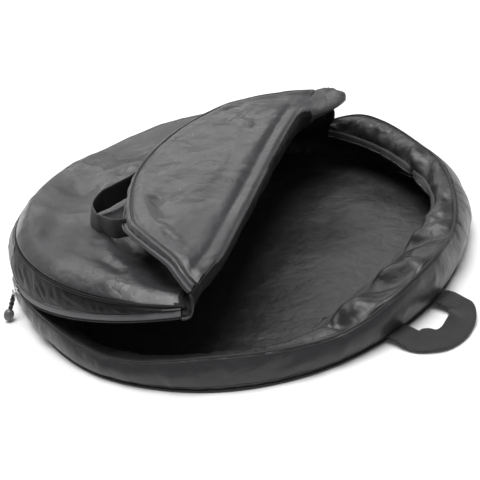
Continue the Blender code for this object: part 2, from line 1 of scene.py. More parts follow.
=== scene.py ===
"""Looks of a padded carry bag for one bicycle wheel: its cloth, seams, zip,
webbing handles and zip pull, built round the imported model.

Metres, +Z up.  The origin is the centre of the round bottom panel on the
floor, +X runs across the lid's fold, and the fold runs along Y.  Angles round
the bag are measured from +X towards +Y.
"""
import math
import bpy
import numpy as np
from mathutils import Matrix, Vector


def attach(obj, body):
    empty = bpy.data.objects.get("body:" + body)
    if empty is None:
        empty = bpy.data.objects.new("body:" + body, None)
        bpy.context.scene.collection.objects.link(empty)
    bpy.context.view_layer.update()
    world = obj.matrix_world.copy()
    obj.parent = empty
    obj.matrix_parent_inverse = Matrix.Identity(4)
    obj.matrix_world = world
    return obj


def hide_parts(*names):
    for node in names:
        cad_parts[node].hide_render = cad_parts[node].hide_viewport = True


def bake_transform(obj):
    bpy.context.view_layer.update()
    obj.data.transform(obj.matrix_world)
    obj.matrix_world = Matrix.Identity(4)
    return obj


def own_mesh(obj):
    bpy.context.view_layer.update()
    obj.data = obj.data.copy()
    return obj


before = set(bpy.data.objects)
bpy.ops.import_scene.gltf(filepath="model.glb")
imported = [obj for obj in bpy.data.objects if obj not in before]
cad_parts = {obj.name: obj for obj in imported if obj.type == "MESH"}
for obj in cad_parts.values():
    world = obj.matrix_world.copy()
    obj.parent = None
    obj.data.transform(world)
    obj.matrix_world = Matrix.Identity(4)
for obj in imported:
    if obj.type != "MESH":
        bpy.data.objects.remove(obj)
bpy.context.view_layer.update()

# ------------------------------------------------------------------ dimensions
BOTTOM_IN = 0.0035
LID_R = 0.3600
FOLD_X, FOLD_Z = 0.0580, 0.1305
HINGE_X, HINGE_Z = 0.1120, 0.1470
FLAP_R = 0.3600
FLAP_LEAVES, FLAP_CURL = math.radians(155.3), 2.3
TAPE_W, COIL_R = 0.0085, 0.0020

SKIRT_DROP = {-70: .004, -60: .005, -52: .007, -46: .009, -40: .011, -34: .015,
              -27: .024, -15: .031, 70: .031}
# the rolled fold by distance along it: where the flap begins, and how far the
# roll stands out and at what height
FLAP_X = {-350: .0880, -332: .0880, -300: .0885, -265: .0900, -200: .0860, -155: .0830,
          -100: .0795, -45: .0755, 0: .0720, 55: .0675, 100: .0650, 145: .0625,
          200: .0610, 250: .0610, 300: .0625, 345: .0640}
ROLL_X = {-350: .0890, -335: .0890, -318: .0900, -298: .0915, -280: .0940, -265: .0945,
          -240: .0925, -200: .0895, -155: .0865, -100: .0830, -45: .0790, 0: .0750,
          55: .0705, 100: .0680, 145: .0655, 180: .0645, 200: .0650, 215: .0680,
          230: .0750, 245: .0850, 260: .0965, 275: .1060, 290: .1140, 305: .1190,
          320: .1210, 332: .1200, 340: .1170, 347: .1110, 353: .1030}
ROLL_Z = {-350: .1440, -300: .1450, -265: .1470, -155: .1510, -45: .1560, 55: .1580,
          145: .1595, 200: .1590, 245: .1530, 290: .1500, 353: .1500}
FLAP_TRIM = {-70: 0, -62: .001, -58: -.002, -52: 0, -46: .004, -40: .009, -34: .006,
             -28: .002, -20: 0, 28: 0, 40: -.006, 50: -.010, 58: -.005, 66: 0}
BASE_R = {0: .3740, 10: .3800, 20: .3830, 45: .3830, 90: .3800, 180: .3800,
          203: .3820, 212: .3800, 220: .3710, 230: .3660, 244: .3730, 256: .3810,
          270: .3850, 285: .3890, 298: .3880, 310: .3840, 325: .3770, 342: .3730}
RIM_Z = {0: .074, 12: .079, 22: .086, 32: .091, 43: .092, 52: .099, 59: .105,
         67: .107, 75: .094, 84: .070, 96: .056, 120: .052,
         180: .050, 200: .046, 210: .040, 217: .036, 224: .043, 232: .049,
         240: .049, 248: .043, 258: .036, 266: .038, 274: .045, 285: .052,
         300: .050, 312: .047, 320: .054, 328: .067, 336: .076, 346: .079}
RIM_R = {0: .371, 12: .367, 22: .367, 32: .368, 45: .369, 60: .371, 80: .374,
         120: .375, 180: .375, 205: .374, 217: .3735, 232: .370, 248: .373,
         262: .377, 285: .379, 300: .380, 315: .380, 330: .379, 346: .376}
BULGE_R = {0: .386, 14: .393, 28: .398, 42: .399, 60: .391, 80: .386, 120: .385,
           180: .387, 200: .390, 217: .381, 232: .377, 248: .381, 262: .387,
           285: .390, 300: .390, 330: .386}
LID_Z = {77: .131, 90: .118, 105: .109, 126: .107, 147: .103, 162: .107,
         176: .115, 190: .118, 205: .123, 220: .129, 235: .133, 250: .134,
         265: .133, 283: .132}
STRIP_R = {222: .357, 228: .349, 240: .343, 260: .346, 285: .350, 300: .352,
           307: .347, 314: .334, 322: .314, 338: .301, 354: .303, 365: .320,
           376: .337, 396: .335, 415: .337, 438: .346}
STRIP_Z = {222: .040, 228: .033, 240: .026, 260: .020, 285: .024, 300: .030,
           307: .038, 314: .042, 322: .041, 338: .040, 354: .042, 365: .050,
           376: .060, 396: .062, 415: .068, 438: .074}
ZIP_EDGE = ((218.5, .3765, .046), (248.0, .370, .081), (280.0, .370, .114))
BEAD_AT = np.array([-0.3095, -0.2587, 0.0108])
LID_MID = np.array([-0.12, 0.0])
LID_MID_Z = 0.1235


# --------------------------------------------------------------- small numbers
def curve(table, deg, periodic=True):
    """Smooth value of an angle table at one angle or an array of them."""
    keys = sorted(table)
    deg = np.asarray(deg, float)
    if periodic:
        ks = [k - 360 for k in keys] + keys + [k + 360 for k in keys]
        vs = [table[k] for k in keys] * 3
        x = np.mod(deg, 360)
    else:
        ks = [keys[0] - 10, keys[0] - 5] + keys + [keys[-1] + 5, keys[-1] + 10]
        vs = ([table[keys[0]]] * 2 + [table[k] for k in keys]
              + [table[keys[-1]]] * 2)
        x = np.clip(deg, keys[0], keys[-1])
    ks, vs = np.array(ks, float), np.array(vs, float)
    i = np.clip(np.searchsorted(ks, x, side="right") - 1, 1, len(ks) - 3)
    k0, k1, k2, k3 = ks[i - 1], ks[i], ks[i + 1], ks[i + 2]
    v0, v1, v2, v3 = vs[i - 1], vs[i], vs[i + 1], vs[i + 2]
    h = k2 - k1
    m1, m2 = (v2 - v0) / (k2 - k0) * h, (v3 - v1) / (k3 - k1) * h
    t = (x - k1) / h
    return ((2 * t ** 3 - 3 * t ** 2 + 1) * v1 + (t ** 3 - 2 * t ** 2 + t) * m1
            + (-2 * t ** 3 + 3 * t ** 2) * v2 + (t ** 3 - t ** 2) * m2)


def step(a, b, x):
    t = np.clip((np.asarray(x, float) - a) / (b - a), 0, 1)
    return t * t * (3 - 2 * t)


def unit(v):
    v = np.asarray(v, float)
    return v / np.maximum(np.linalg.norm(v, axis=-1, keepdims=True), 1e-12)


def polar(r, deg, z):
    a = np.radians(deg)
    return np.stack([r * np.cos(a), r * np.sin(a), z + 0 * a], -1)


def _hash(ix, iy, iz, seed):
    h = (ix * 374761393 + iy * 668265263 + iz * 2147483629 + seed * 1274126177) & 0xffffffff
    h = ((h ^ (h >> 13)) * 1274126177) & 0xffffffff
    return h ^ (h >> 16)


def perlin(p, seed=0):
    """Gradient noise, about -0.7 to 0.7, at an array of points."""
    p = np.asarray(p, float)
    i = np.floor(p).astype(np.int64)
    f = p - i
    u = f * f * f * (f * (f * 6 - 15) + 10)
    out = np.zeros(p.shape[:-1])
    for dx in (0, 1):
        for dy in (0, 1):
            for dz in (0, 1):
                h = _hash(i[..., 0] + dx, i[..., 1] + dy, i[..., 2] + dz, seed)
                g = [((h >> s) & 1023) / 511.5 - 1 for s in (0, 10, 20)]
                d = (g[0] * (f[..., 0] - dx) + g[1] * (f[..., 1] - dy)
                     + g[2] * (f[..., 2] - dz))
                w = ((u[..., 0] if dx else 1 - u[..., 0])
                     * (u[..., 1] if dy else 1 - u[..., 1])
                     * (u[..., 2] if dz else 1 - u[..., 2]))
                out = out + w * d
    return out


def ridges(p, seed=0):
    """Crumpled cloth: rounded patches with sharper creases between them."""
    return 0.35 - np.abs(perlin(p, seed)) * 1.6


def crumple(p, seed, warp=0.45):
    """Crumpled cloth whose creases wander."""
    p = np.asarray(p, float)
    w = np.stack([perlin(p * 0.8 + 7.3 * k, seed + 50 + k) for k in range(3)], -1)
    return ridges(p + warp * w, seed)


def creases(x, y, lines):
    """Height of placed folds: (x0, y0, x1, y1, half width, height) each."""
    h = np.zeros_like(x)
    for x0, y0, x1, y1, w, a in lines:
        dx, dy = x1 - x0, y1 - y0
        n = dx * dx + dy * dy
        s = ((x - x0) * dx + (y - y0) * dy) / n
        t = np.clip(s, 0, 1)
        d = np.hypot(x - x0 - t * dx, y - y0 - t * dy)
        taper = 0.35 + 0.65 * np.sin(np.pi * t) ** 0.6
        h += a * taper / (1 + (d / w) ** 2) ** 1.5
    return h


def spline(points, n, closed=False):
    """Points evenly spaced along a smooth curve through the given ones."""
    p = np.asarray(points, float)
    if closed:
        q = np.concatenate([p[-1:], p, p[:2]])
    else:
        q = np.concatenate([2 * p[:1] - p[1:2], p, 2 * p[-1:] - p[-2:-1]])
    out = []
    for i in range(1, len(q) - 2):
        p0, p1, p2, p3 = q[i - 1:i + 3]
        for s in np.linspace(0, 1, 24, endpoint=False):
            out.append(0.5 * (2 * p1 + (p2 - p0) * s
                              + (2 * p0 - 5 * p1 + 4 * p2 - p3) * s * s
                              + (3 * p1 - p0 - 3 * p2 + p3) * s ** 3))
    out.append(q[-2] if not closed else out[0])
    out = np.array(out)
    d = np.concatenate([[0], np.cumsum(np.linalg.norm(np.diff(out[:, :3], axis=0), axis=1))])
    t = np.linspace(0, d[-1], n + 1 if closed else n)
    res = np.stack([np.interp(t, d, out[:, k]) for k in range(out.shape[1])], -1)
    return res[:-1] if closed else res


# -------------------------------------------------------------------- materials
class Nodes:
    """A small helper that wires one material's shader nodes."""

    def __init__(self, name):
        self.mat = bpy.data.materials.new(name)
        self.mat.use_nodes = True
        self.tree = self.mat.node_tree
        self.bsdf = self.tree.nodes["Principled BSDF"]

    def new(self, kind, **values):
        n = self.tree.nodes.new(kind)
        for k, v in values.items():
            setattr(n, k, v)
        return n

    def link(self, a, b):
        self.tree.links.new(a, b)

    def math(self, op, a, b=None, c=None):
        n = self.new("ShaderNodeMath", operation=op)
        for k, v in enumerate((a, b, c)):
            if v is None:
                continue
            if isinstance(v, (int, float)):
                n.inputs[k].default_value = v
            else:
                self.link(v, n.inputs[k])
        return n.outputs[0]

    def noise(self, scale, detail=3.0, rough=0.55, vector=None):
        n = self.new("ShaderNodeTexNoise")
        n.inputs["Scale"].default_value = scale
        n.inputs["Detail"].default_value = detail
        n.inputs["Roughness"].default_value = rough
        if vector is not None:
            self.link(vector, n.inputs["Vector"])
        return n.outputs["Fac"]

    def remap(self, value, a, b, lo, hi):
        n = self.new("ShaderNodeMapRange")
        n.inputs["From Min"].default_value = a
        n.inputs["From Max"].default_value = b
        n.inputs["To Min"].default_value = lo
        n.inputs["To Max"].default_value = hi
        self.link(value, n.inputs["Value"])
        return n.outputs["Result"]

    def colour(self, fac, *stops):
        r = self.new("ShaderNodeValToRGB")
        cr = r.color_ramp
        while len(cr.elements) < len(stops):
            cr.elements.new(0.5)
        for e, (at, c) in zip(cr.elements, stops):
            e.position = at
            e.color = (*c, 1.0)
        self.link(fac, r.inputs["Fac"])
        return r.outputs["Color"]

    def bump(self, height, strength, distance, normal=None):
        b = self.new("ShaderNodeBump")
        b.inputs["Strength"].default_value = strength
        b.inputs["Distance"].default_value = distance
        self.link(height, b.inputs["Height"])
        if normal is not None:
            self.link(normal, b.inputs["Normal"])
        return b.outputs["Normal"]

    def uv(self):
        u = self.new("ShaderNodeUVMap", uv_map="cloth")
        s = self.new("ShaderNodeSeparateXYZ")
        self.link(u.outputs["UV"], s.inputs[0])
        return u.outputs["UV"], s.outputs["X"], s.outputs["Y"]

    def place(self):
        return self.new("ShaderNodeTexCoord").outputs["Object"]

    def set(self, **values):
        for k, v in values.items():
            self.bsdf.inputs[k.replace("_", " ")].default_value = v


def shade(c, k):
    return tuple(min(1.0, v * k) for v in c)


def nylon(name, base, rough=0.42, spread=0.16, weave=0.00062, sheen=0.05,
          weave_depth=0.30, crinkle=0.45, gloss=0.62, patch=0.0):
    """Plain-woven nylon with a slight proofed gloss and fine crinkles."""
    m = Nodes(name)
    uv, u, v = m.uv()
    place = m.place()
    big = m.noise(7.0, 3.0, 0.5, place)
    mid = m.noise(46.0, 4.0, 0.6, place)
    tone = m.math("ADD", m.math("MULTIPLY", big, 0.65), m.math("MULTIPLY", mid, 0.35))
    # yarns: warp and weft, each with its own slight thickness
    k = 2 * math.pi / weave
    warp = m.math("SINE", m.math("MULTIPLY", u, k))
    weft = m.math("SINE", m.math("MULTIPLY", v, k))
    over = m.math("MULTIPLY", warp, weft)
    yarn = m.math("ADD", m.math("MULTIPLY", over, 0.5), 0.5)
    slub = m.noise(900.0, 2.0, 0.5, uv)
    shade_of = m.math("ADD", m.math("MULTIPLY", tone, 0.86),
                      m.math("MULTIPLY", slub, 0.14))
    col = m.colour(shade_of, (0.30, shade(base, 1 - spread)), (0.52, base),
                   (0.74, shade(base, 1 + spread)))
    m.link(col, m.bsdf.inputs["Base Color"])
    r = m.remap(mid, 0.3, 0.7, rough - 0.05, rough + 0.07)
    if patch:
        wide = m.noise(6.2, 2.0, 0.5, place)
        r = m.math("ADD", r, m.remap(wide, 0.47, 0.60, 0.0, patch))
    m.link(r, m.bsdf.inputs["Roughness"])
    crumple = m.noise(95.0, 5.0, 0.62, place)
    fold = m.noise(26.0, 2.0, 0.5, place)
    fold = m.math("ABSOLUTE", m.math("SUBTRACT", fold, 0.5))
    n0 = m.bump(fold, 0.5, 0.0075)
    n1 = m.bump(crumple, crinkle, 0.0016, n0)
    n2 = m.bump(yarn, weave_depth, 0.00012, n1)
    m.link(n2, m.bsdf.inputs["Normal"])
    m.set(Sheen_Weight=sheen, Sheen_Roughness=0.45)
    m.bsdf.inputs["Specular IOR Level"].default_value = gloss
    return m.mat


def webbing_cloth(name, base, rib=0.0023):
    """Flat woven webbing: ribs across it and a herringbone face."""
    m = Nodes(name)
    uv, u, v = m.uv()
    place = m.place()
    k = 2 * math.pi / rib
    slant = m.math("ADD", m.math("MULTIPLY", u, k),
                   m.math("MULTIPLY", m.math("PINGPONG", v, 0.0046), k * 0.9))
    rows = m.math("SINE", slant)
    yarn = m.math("SINE", m.math("MULTIPLY", v, 2 * math.pi / 0.0011))
    height = m.math("ADD", m.math("MULTIPLY", rows, 0.6), m.math("MULTIPLY", yarn, 0.4))
    fuzz = m.noise(700.0, 3.0, 0.6, place)
    wear = m.noise(38.0, 3.0, 0.6, place)
    tone = m.math("ADD", m.math("MULTIPLY", m.remap(height, -1, 1, 0, 1), 0.5),
                  m.math("ADD", m.math("MULTIPLY", fuzz, 0.2),
                         m.math("MULTIPLY", wear, 0.3)))
    col = m.colour(tone, (0.2, shade(base, 0.72)), (0.55, base), (0.85, shade(base, 1.35)))
    m.link(col, m.bsdf.inputs["Base Color"])
    m.link(m.remap(wear, 0.3, 0.7, 0.55, 0.72), m.bsdf.inputs["Roughness"])
    n1 = m.bump(height, 0.7, 0.00035)
    n2 = m.bump(fuzz, 0.3, 0.0002, n1)
    m.link(n2, m.bsdf.inputs["Normal"])
    m.set(Sheen_Weight=0.15, Sheen_Roughness=0.5)
    return m.mat


def tape_cloth(name, base, rough=0.62):
    """Zip tape: a tight herringbone."""
    m = Nodes(name)
    uv, u, v = m.uv()
    place = m.place()
    k = 2 * math.pi / 0.0011
    slant = m.math("ADD", m.math("MULTIPLY", u, k),
                   m.math("MULTIPLY", m.math("PINGPONG", v, 0.0024), k))
    rows = m.math("SINE", slant)
    fuzz = m.noise(600.0, 3.0, 0.6, place)
    wear = m.noise(30.0, 4.0, 0.6, place)
    tone = m.math("ADD", m.math("MULTIPLY", m.remap(rows, -1, 1, 0, 1), 0.3),
                  m.math("ADD", m.math("MULTIPLY", fuzz, 0.2),
                         m.math("MULTIPLY", wear, 0.5)))
    col = m.colour(tone, (0.25, shade(base, 0.74)), (0.5, base), (0.8, shade(base, 1.28)))
    m.link(col, m.bsdf.inputs["Base Color"])
    m.set(Roughness=rough, Sheen_Weight=0.15, Sheen_Roughness=0.5)
    m.link(m.bump(rows, 0.5, 0.0002), m.bsdf.inputs["Normal"])
    return m.mat


def cord_cloth(name, base, rough=0.6):
    """Braided or piped cord, with a fine slanting braid."""
    m = Nodes(name)
    uv, u, v = m.uv()
    place = m.place()
    a = m.math("SINE", m.math("ADD", m.math("MULTIPLY", u, 3600.0),
                              m.math("MULTIPLY", v, 1700.0)))
    b = m.math("SINE", m.math("SUBTRACT", m.math("MULTIPLY", u, 3600.0),
                              m.math("MULTIPLY", v, 1700.0)))
    braid = m.math("MAXIMUM", a, b)
    wear = m.noise(60.0, 3.0, 0.6, place)
    col = m.colour(wear, (0.3, shade(base, 0.75)), (0.5, base), (0.75, shade(base, 1.35)))
    m.link(col, m.bsdf.inputs["Base Color"])
    m.set(Roughness=rough, Sheen_Weight=0.15, Sheen_Roughness=0.5)
    m.link(m.bump(braid, 0.45, 0.0002), m.bsdf.inputs["Normal"])
    return m.mat


def moulded(name, base, rough, fine=0.2):
    """Moulded plastic with a faint grain and handling marks."""
    m = Nodes(name)
    place = m.place()
    grain = m.noise(900.0, 3.0, 0.6, place)
    marks = m.noise(140.0, 4.0, 0.6, place)
    col = m.colour(marks, (0.3, shade(base, 0.82)), (0.5, base), (0.75, shade(base, 1.2)))
    m.link(col, m.bsdf.inputs["Base Color"])
    m.link(m.remap(marks, 0.3, 0.7, rough - 0.06, rough + 0.1), m.bsdf.inputs["Roughness"])
    m.link(m.bump(grain, fine, 0.0001), m.bsdf.inputs["Normal"])
    return m.mat


def plated(name, base, rough=0.24):
    """Nickel-plated die casting, slightly rubbed."""
    m = Nodes(name)
    place = m.place()
    rub = m.noise(420.0, 4.0, 0.65, place)
    cast = m.noise(1500.0, 2.0, 0.5, place)
    col = m.colour(rub, (0.3, shade(base, 0.7)), (0.52, base), (0.7, shade(base, 1.15)))
    m.link(col, m.bsdf.inputs["Base Color"])
    m.link(m.remap(rub, 0.3, 0.7, rough - 0.06, rough + 0.16), m.bsdf.inputs["Roughness"])
    m.set(Metallic=1.0)
    m.link(m.bump(cast, 0.15, 0.0001), m.bsdf.inputs["Normal"])
    return m.mat


MAT = {
    "outer": nylon("nylon outer", (.022, .0207, .0229), rough=0.34, gloss=0.46),
    "lid": nylon("nylon lid", (.027, .0255, .028), rough=0.29, spread=0.26, patch=0.28),
    # a near-black, low-gloss copy of the lid nylon: painted shade for the lid's side band, the lid's front corner
    # and the back of the flap's side band
    "skirt_painted_shade": nylon("nylon skirt", (.0065, .0062, .0069), rough=0.50, gloss=0.15, sheen=0.02),
    "lining": nylon("nylon lining", (.039, .037, .040), rough=0.30, weave=0.0005, patch=0.14),
    # the inner faces: a darker copy of the lining, partly the cloth's own back and partly painted shade for the
    # inside of the bag
    "inside": nylon("nylon inside partly painted shade", (.015, .0143, .0158), rough=0.42, weave=0.0005),
    "strip": nylon("nylon zip band", (.019, .018, .0198), rough=0.33, gloss=0.50),
    # a near-black, dull copy of the nylon: painted shade for the side of the rolled fold that turns down into the
    # bag, its closed front end and the zip tape there
    "shade": nylon("nylon fold side painted shade", (.0060, .0057, .0063), rough=0.55, gloss=0.14, sheen=0.02),
    # tape: a light copy of the zip tape, partly painted highlight where the lid's and flap's zip edge catches the
    # light; the base half of the zip uses tape_dark
    "tape": tape_cloth("zip tape", (.088, .0845, .0905)),
    "tape_dark": tape_cloth("zip tape dark", (.030, .0285, .031)),
    "coil": moulded("zip coil", (.020, .019, .021), 0.30),
    "web": webbing_cloth("handle webbing", (.020, .0192, .0208)),
    # a darker copy of the handle webbing: painted shade for the lid handle's strap, which faces down
    "web_lid_painted_shade": webbing_cloth("lid handle webbing painted shade", (.017, .0163, .018)),
    "pipe": cord_cloth("seam piping", (.010, .0095, .011)),
    "pull": cord_cloth("pull cord", (.012, .0115, .013), 0.36),
    "thread": cord_cloth("sewing thread", (.034, .033, .036), 0.5),
    "metal": plated("nickel plate", (.74, .74, .76)),
    "bead": moulded("pull bead", (.115, .112, .117), 0.26, 0.3),
}


# ------------------------------------------------------------- mesh building
def build(name, verts, faces, uvs, mats, mat_index=None, flat=False):
    me = bpy.data.meshes.new(name)
    me.from_pydata([tuple(map(float, v)) for v in verts], [], faces)
    layer = me.uv_layers.new(name="cloth")
    loops = np.zeros(len(me.loops), np.int64)
    me.loops.foreach_get("vertex_index", loops)
    layer.data.foreach_set("uv", np.asarray(uvs, np.float32)[loops].ravel())
    for m in mats:
        me.materials.append(m)
    if mat_index is not None:
        me.polygons.foreach_set("material_index", np.asarray(mat_index, np.int32))
    me.polygons.foreach_set("use_smooth", np.full(len(me.polygons), not flat))
    me.update()
    ob = bpy.data.objects.new(name, me)
    bpy.context.scene.collection.objects.link(ob)
    return ob


def face_normals(v, faces):
    n = np.zeros_like(v)
    for size in (3, 4):
        f = np.array([g for g in faces if len(g) == size])
        if not len(f):
            continue
        if size == 3:
            c = np.cross(v[f[:, 1]] - v[f[:, 0]], v[f[:, 2]] - v[f[:, 0]])
        else:
            c = np.cross(v[f[:, 2]] - v[f[:, 0]], v[f[:, 3]] - v[f[:, 1]])
        for k in range(size):
            np.add.at(n, f[:, k], c)
    return unit(n)


def solid(name, v, faces, uv, thick, mats, thin=None):
    """A cloth of some thickness about its middle surface, with rounded edges.
    mats: the face's material, and the back's."""
    v, uv = np.asarray(v, float), np.asarray(uv, float)
    n = face_normals(v, faces)
    t = np.full(len(v), thick) if thin is None else thick * thin
    top, low = v + n * t[:, None] / 2, v - n * t[:, None] / 2
    edges = {}
    for f in faces:
        for a, b in zip(f, f[1:] + f[:1]):
            edges[a, b] = edges.get((a, b), 0) + 1
    rim = [(a, b) for a, b in edges if (b, a) not in edges]
    out = np.zeros_like(v)
    for a, b in rim:
        d = np.cross(v[b] - v[a], n[a] + n[b])
        out[a] += d
        out[b] += d
    ids = sorted({a for e in rim for a in e})
    where = {a: 2 * len(v) + k for k, a in enumerate(ids)}
    mid = v[ids] + unit(out[ids]) * t[ids][:, None] / 2
    count = len(v)
    fs = [tuple(f) for f in faces]
    back = [tuple(a + count for a in f[::-1]) for f in faces]
    sides = []
    for a, b in rim:
        sides.append((b, a, where[a], where[b]))
        sides.append((where[b], where[a], a + count, b + count))
    idx = [0] * len(fs) + [1 if len(mats) > 1 else 0] * len(back) + [0] * len(sides)
    return build(name, np.concatenate([top, low, mid]), fs + back + sides,
                 np.concatenate([uv, uv, uv[ids]]), mats, idx)


def grid_faces(rows, cols, closed=False, flip=False, keep=None):
    faces = []
    for i in range(rows - 1):
        for j in range(cols if closed else cols - 1):
            if keep is not None and not keep[i, j]:
                continue
            k = (j + 1) % cols
            f = (i * cols + j, i * cols + k, (i + 1) * cols + k, (i + 1) * cols + j)
            faces.append(f[::-1] if flip else f)
    return faces


def grid_uv(p):
    rows, cols = p.shape[:2]
    du = np.linalg.norm(np.diff(p[rows // 2], axis=0), axis=1)
    dv = np.linalg.norm(np.diff(p[:, cols // 2], axis=0), axis=1)
    u = np.concatenate([[0], np.cumsum(du)])
    v = np.concatenate([[0], np.cumsum(dv)])
    return np.stack(np.meshgrid(u, v), -1).reshape(-1, 2)


def grid_normals(p, closed=False):
    if closed:
        du = np.roll(p, -1, 1) - np.roll(p, 1, 1)
    else:
        du = np.gradient(p, axis=1)
    dv = np.gradient(p, axis=0)
    return unit(np.cross(du, dv))


def cloth(name, p, thick, mats, closed=False, flip=False, keep=None):
    """A cloth piece from a grid of points, rows by columns."""
    rows, cols = p.shape[:2]
    v, uv = p.reshape(-1, 3), grid_uv(p)
    faces = grid_faces(rows, cols, closed, flip, keep)
    if keep is not None:
        used = np.unique(np.array(faces).ravel())
        where = -np.ones(len(v), int)
        where[used] = np.arange(len(used))
        faces = [tuple(where[list(f)]) for f in faces]
        faces = [tuple(int(a) for a in f) for f in faces]
        v, uv = v[used], uv[used]
    return solid(name, v, faces, uv, thick, mats)


def frames(p, closed=False, up=None):
    """Tangent, side and up directions along a line of points."""
    if closed:
        t = unit(np.roll(p, -1, 0) - np.roll(p, 1, 0))
    else:
        t = unit(np.gradient(p, axis=0))
    if up is not None:
        u = np.broadcast_to(np.asarray(up, float), t.shape)
        s = unit(np.cross(t, u))
        return t, s, unit(np.cross(s, t))
    s = np.zeros_like(t)
    first = np.array([0, 0, 1.0]) if abs(t[0][2]) < 0.9 else np.array([1.0, 0, 0])
    s[0] = unit(np.cross(t[0], first))
    for i in range(1, len(t)):
        c = s[i - 1] - t[i] * (s[i - 1] @ t[i])
        s[i] = unit(c)
    return t, s, unit(np.cross(s, t))


def tube(name, p, radius, mats, sides=8, closed=False, up=None, flat=1.0):
    """A round cord along the points, its ends closed with a small dome."""
    p = np.asarray(p, float)
    t, s, u = frames(p, closed, up)
    r = np.full(len(p), radius) if np.isscalar(radius) else np.asarray(radius, float)
    a = np.arange(sides) * 2 * math.pi / sides
    ring = (p[:, None] + s[:, None] * (np.cos(a)[None, :, None] * r[:, None, None])
            + u[:, None] * (np.sin(a)[None, :, None] * r[:, None, None] * flat))
    v = ring.reshape(-1, 3)
    n = len(p)
    run = np.concatenate([[0], np.cumsum(np.linalg.norm(np.diff(p, axis=0), axis=1))])
    uv = np.stack([np.repeat(run, sides), np.tile(a * radius if np.isscalar(radius) else a * r.mean(), n)], -1)
    faces = []
    for i in range(n if closed else n - 1):
        k = (i + 1) % n
        for j in range(sides):
            m = (j + 1) % sides
            faces.append((i * sides + j, k * sides + j, k * sides + m, i * sides + m))
    if not closed:
        caps = np.array([p[0] - t[0] * r[0] * 0.6, p[-1] + t[-1] * r[-1] * 0.6])
        v = np.concatenate([v, caps])
        uv = np.concatenate([uv, [[0, 0], [run[-1], 0]]])
        c0, c1 = n * sides, n * sides + 1
        for j in range(sides):
            m = (j + 1) % sides
            faces.append((c0, j, m))
            faces.append((c1, (n - 1) * sides + m, (n - 1) * sides + j))
    ob = build(name, v, faces, uv, mats)
    fix_out(ob)
    return ob


def fix_out(ob):
    """Turn a closed mesh the right way out."""
    me = ob.data
    v = np.zeros(len(me.vertices) * 3)
    me.vertices.foreach_get("co", v)
    v = v.reshape(-1, 3)
    vol = 0.0
    for f in me.polygons:
        i = list(f.vertices)
        for k in range(1, len(i) - 1):
            vol += v[i[0]] @ np.cross(v[i[k]], v[i[k + 1]])
    if vol < 0:
        me.flip_normals()


def resample(p, pitch):
    p = np.asarray(p, float)
    d = np.concatenate([[0], np.cumsum(np.linalg.norm(np.diff(p, axis=0), axis=1))])
    n = max(2, int(round(d[-1] / pitch)) + 1)
    t = np.linspace(0, d[-1], n)
    return np.stack([np.interp(t, d, p[:, k]) for k in range(p.shape[1])], -1)


def teeth(name, line, side, mats, pitch=0.0021, wide=0.0019, high=0.00115, wire=0.00048):
    """Half a zip's nylon coil along a line; side points across the tape."""
    both = resample(np.concatenate([line, side], 1), pitch / 7)
    p, s = both[:, :3], unit(both[:, 3:])
    t = unit(np.gradient(p, axis=0))
    s = unit(s - t * (s * t).sum(1, keepdims=True))
    u = np.cross(t, s)
    a = np.arange(len(p)) * 2 * math.pi / 7
    q = p + s * (np.cos(a) * wide)[:, None] + u * (np.sin(a) * high)[:, None]
    return tube(name, q, wire, mats, sides=4)


def stitches(name, line, normal, mats, pitch=0.0042, long=0.0028, r=0.00042, lift=0.0003):
    """A row of lockstitches lying on the cloth."""
    both = resample(np.concatenate([line, normal], 1), pitch)
    p, n = both[:, :3], unit(both[:, 3:])
    t = unit(np.gradient(p, axis=0))
    s = unit(np.cross(n, t))
    n = unit(np.cross(t, s))
    c = p + n * lift
    vs, fs, uv = [], [], []
    for k in range(len(c)):
        b = len(vs)
        a0, a1 = c[k] - t[k] * long / 2 - n[k] * r * 0.8, c[k] + t[k] * long / 2 - n[k] * r * 0.8
        vs.append(a0)
        for m in range(4):
            x = m * math.pi / 2 + math.pi / 4
            vs.append(c[k] + s[k] * math.cos(x) * r + n[k] * math.sin(x) * r)
        vs.append(a1)
        for m in range(4):
            j = (m + 1) % 4
            fs.append((b, b + 1 + j, b + 1 + m))
            fs.append((b + 5, b + 1 + m, b + 1 + j))
        uv += [(0, 0)] * 6
    ob = build(name, np.array(vs), fs, np.array(uv), mats)
    fix_out(ob)
    return ob


def strap(name, path, mats, width=0.037, thick=0.0023, n=90, across=9, cup=0.0008):
    """A flat strap: path holds (x, y, z, wx, wy, wz) rows, the middle of the
    webbing and the direction its width lies along."""
    q = spline(np.array(path, float), n)
    p = q[:, :3]
    t = unit(np.gradient(p, axis=0))
    w = unit(q[:, 3:] - t * (q[:, 3:] * t).sum(1, keepdims=True))
    up = unit(np.cross(t, w))
    s = np.linspace(-1, 1, across)
    g = (p[None] + w[None] * (s * width / 2)[:, None, None]
         + up[None] * (cup * (s ** 2 - 0.4))[:, None, None])
    g = np.swapaxes(g, 0, 1)
    rows, cols = g.shape[:2]
    run = np.concatenate([[0], np.cumsum(np.linalg.norm(np.diff(p, axis=0), axis=1))])
    uv = np.stack([np.repeat(run, cols), np.tile((s + 1) * width / 2, rows)], -1)
    return solid(name, g.reshape(-1, 3), grid_faces(rows, cols), uv, thick, mats)


def put(ob, body, node=None):
    """The piece rides on a body, and stands for its CAD node."""
    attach(ob, body)
    if node:
        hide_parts(*([node] if isinstance(node, str) else node))
    return ob


# --------------------------------------------------------------- bag surfaces
def lid_edge_z(deg):
    return curve(LID_Z, np.mod(deg, 360), periodic=False)


def lid_reach(dx, dy):
    b = LID_MID[0] * dx + LID_MID[1] * dy
    c = LID_MID @ LID_MID - LID_R ** 2
    d = -b + np.sqrt(b * b - c)
    with np.errstate(divide="ignore"):
        f = np.where(dx > 1e-9, (FOLD_X - LID_MID[0]) / np.where(dx > 1e-9, dx, 1), 1e9)
    return np.minimum(d, f)


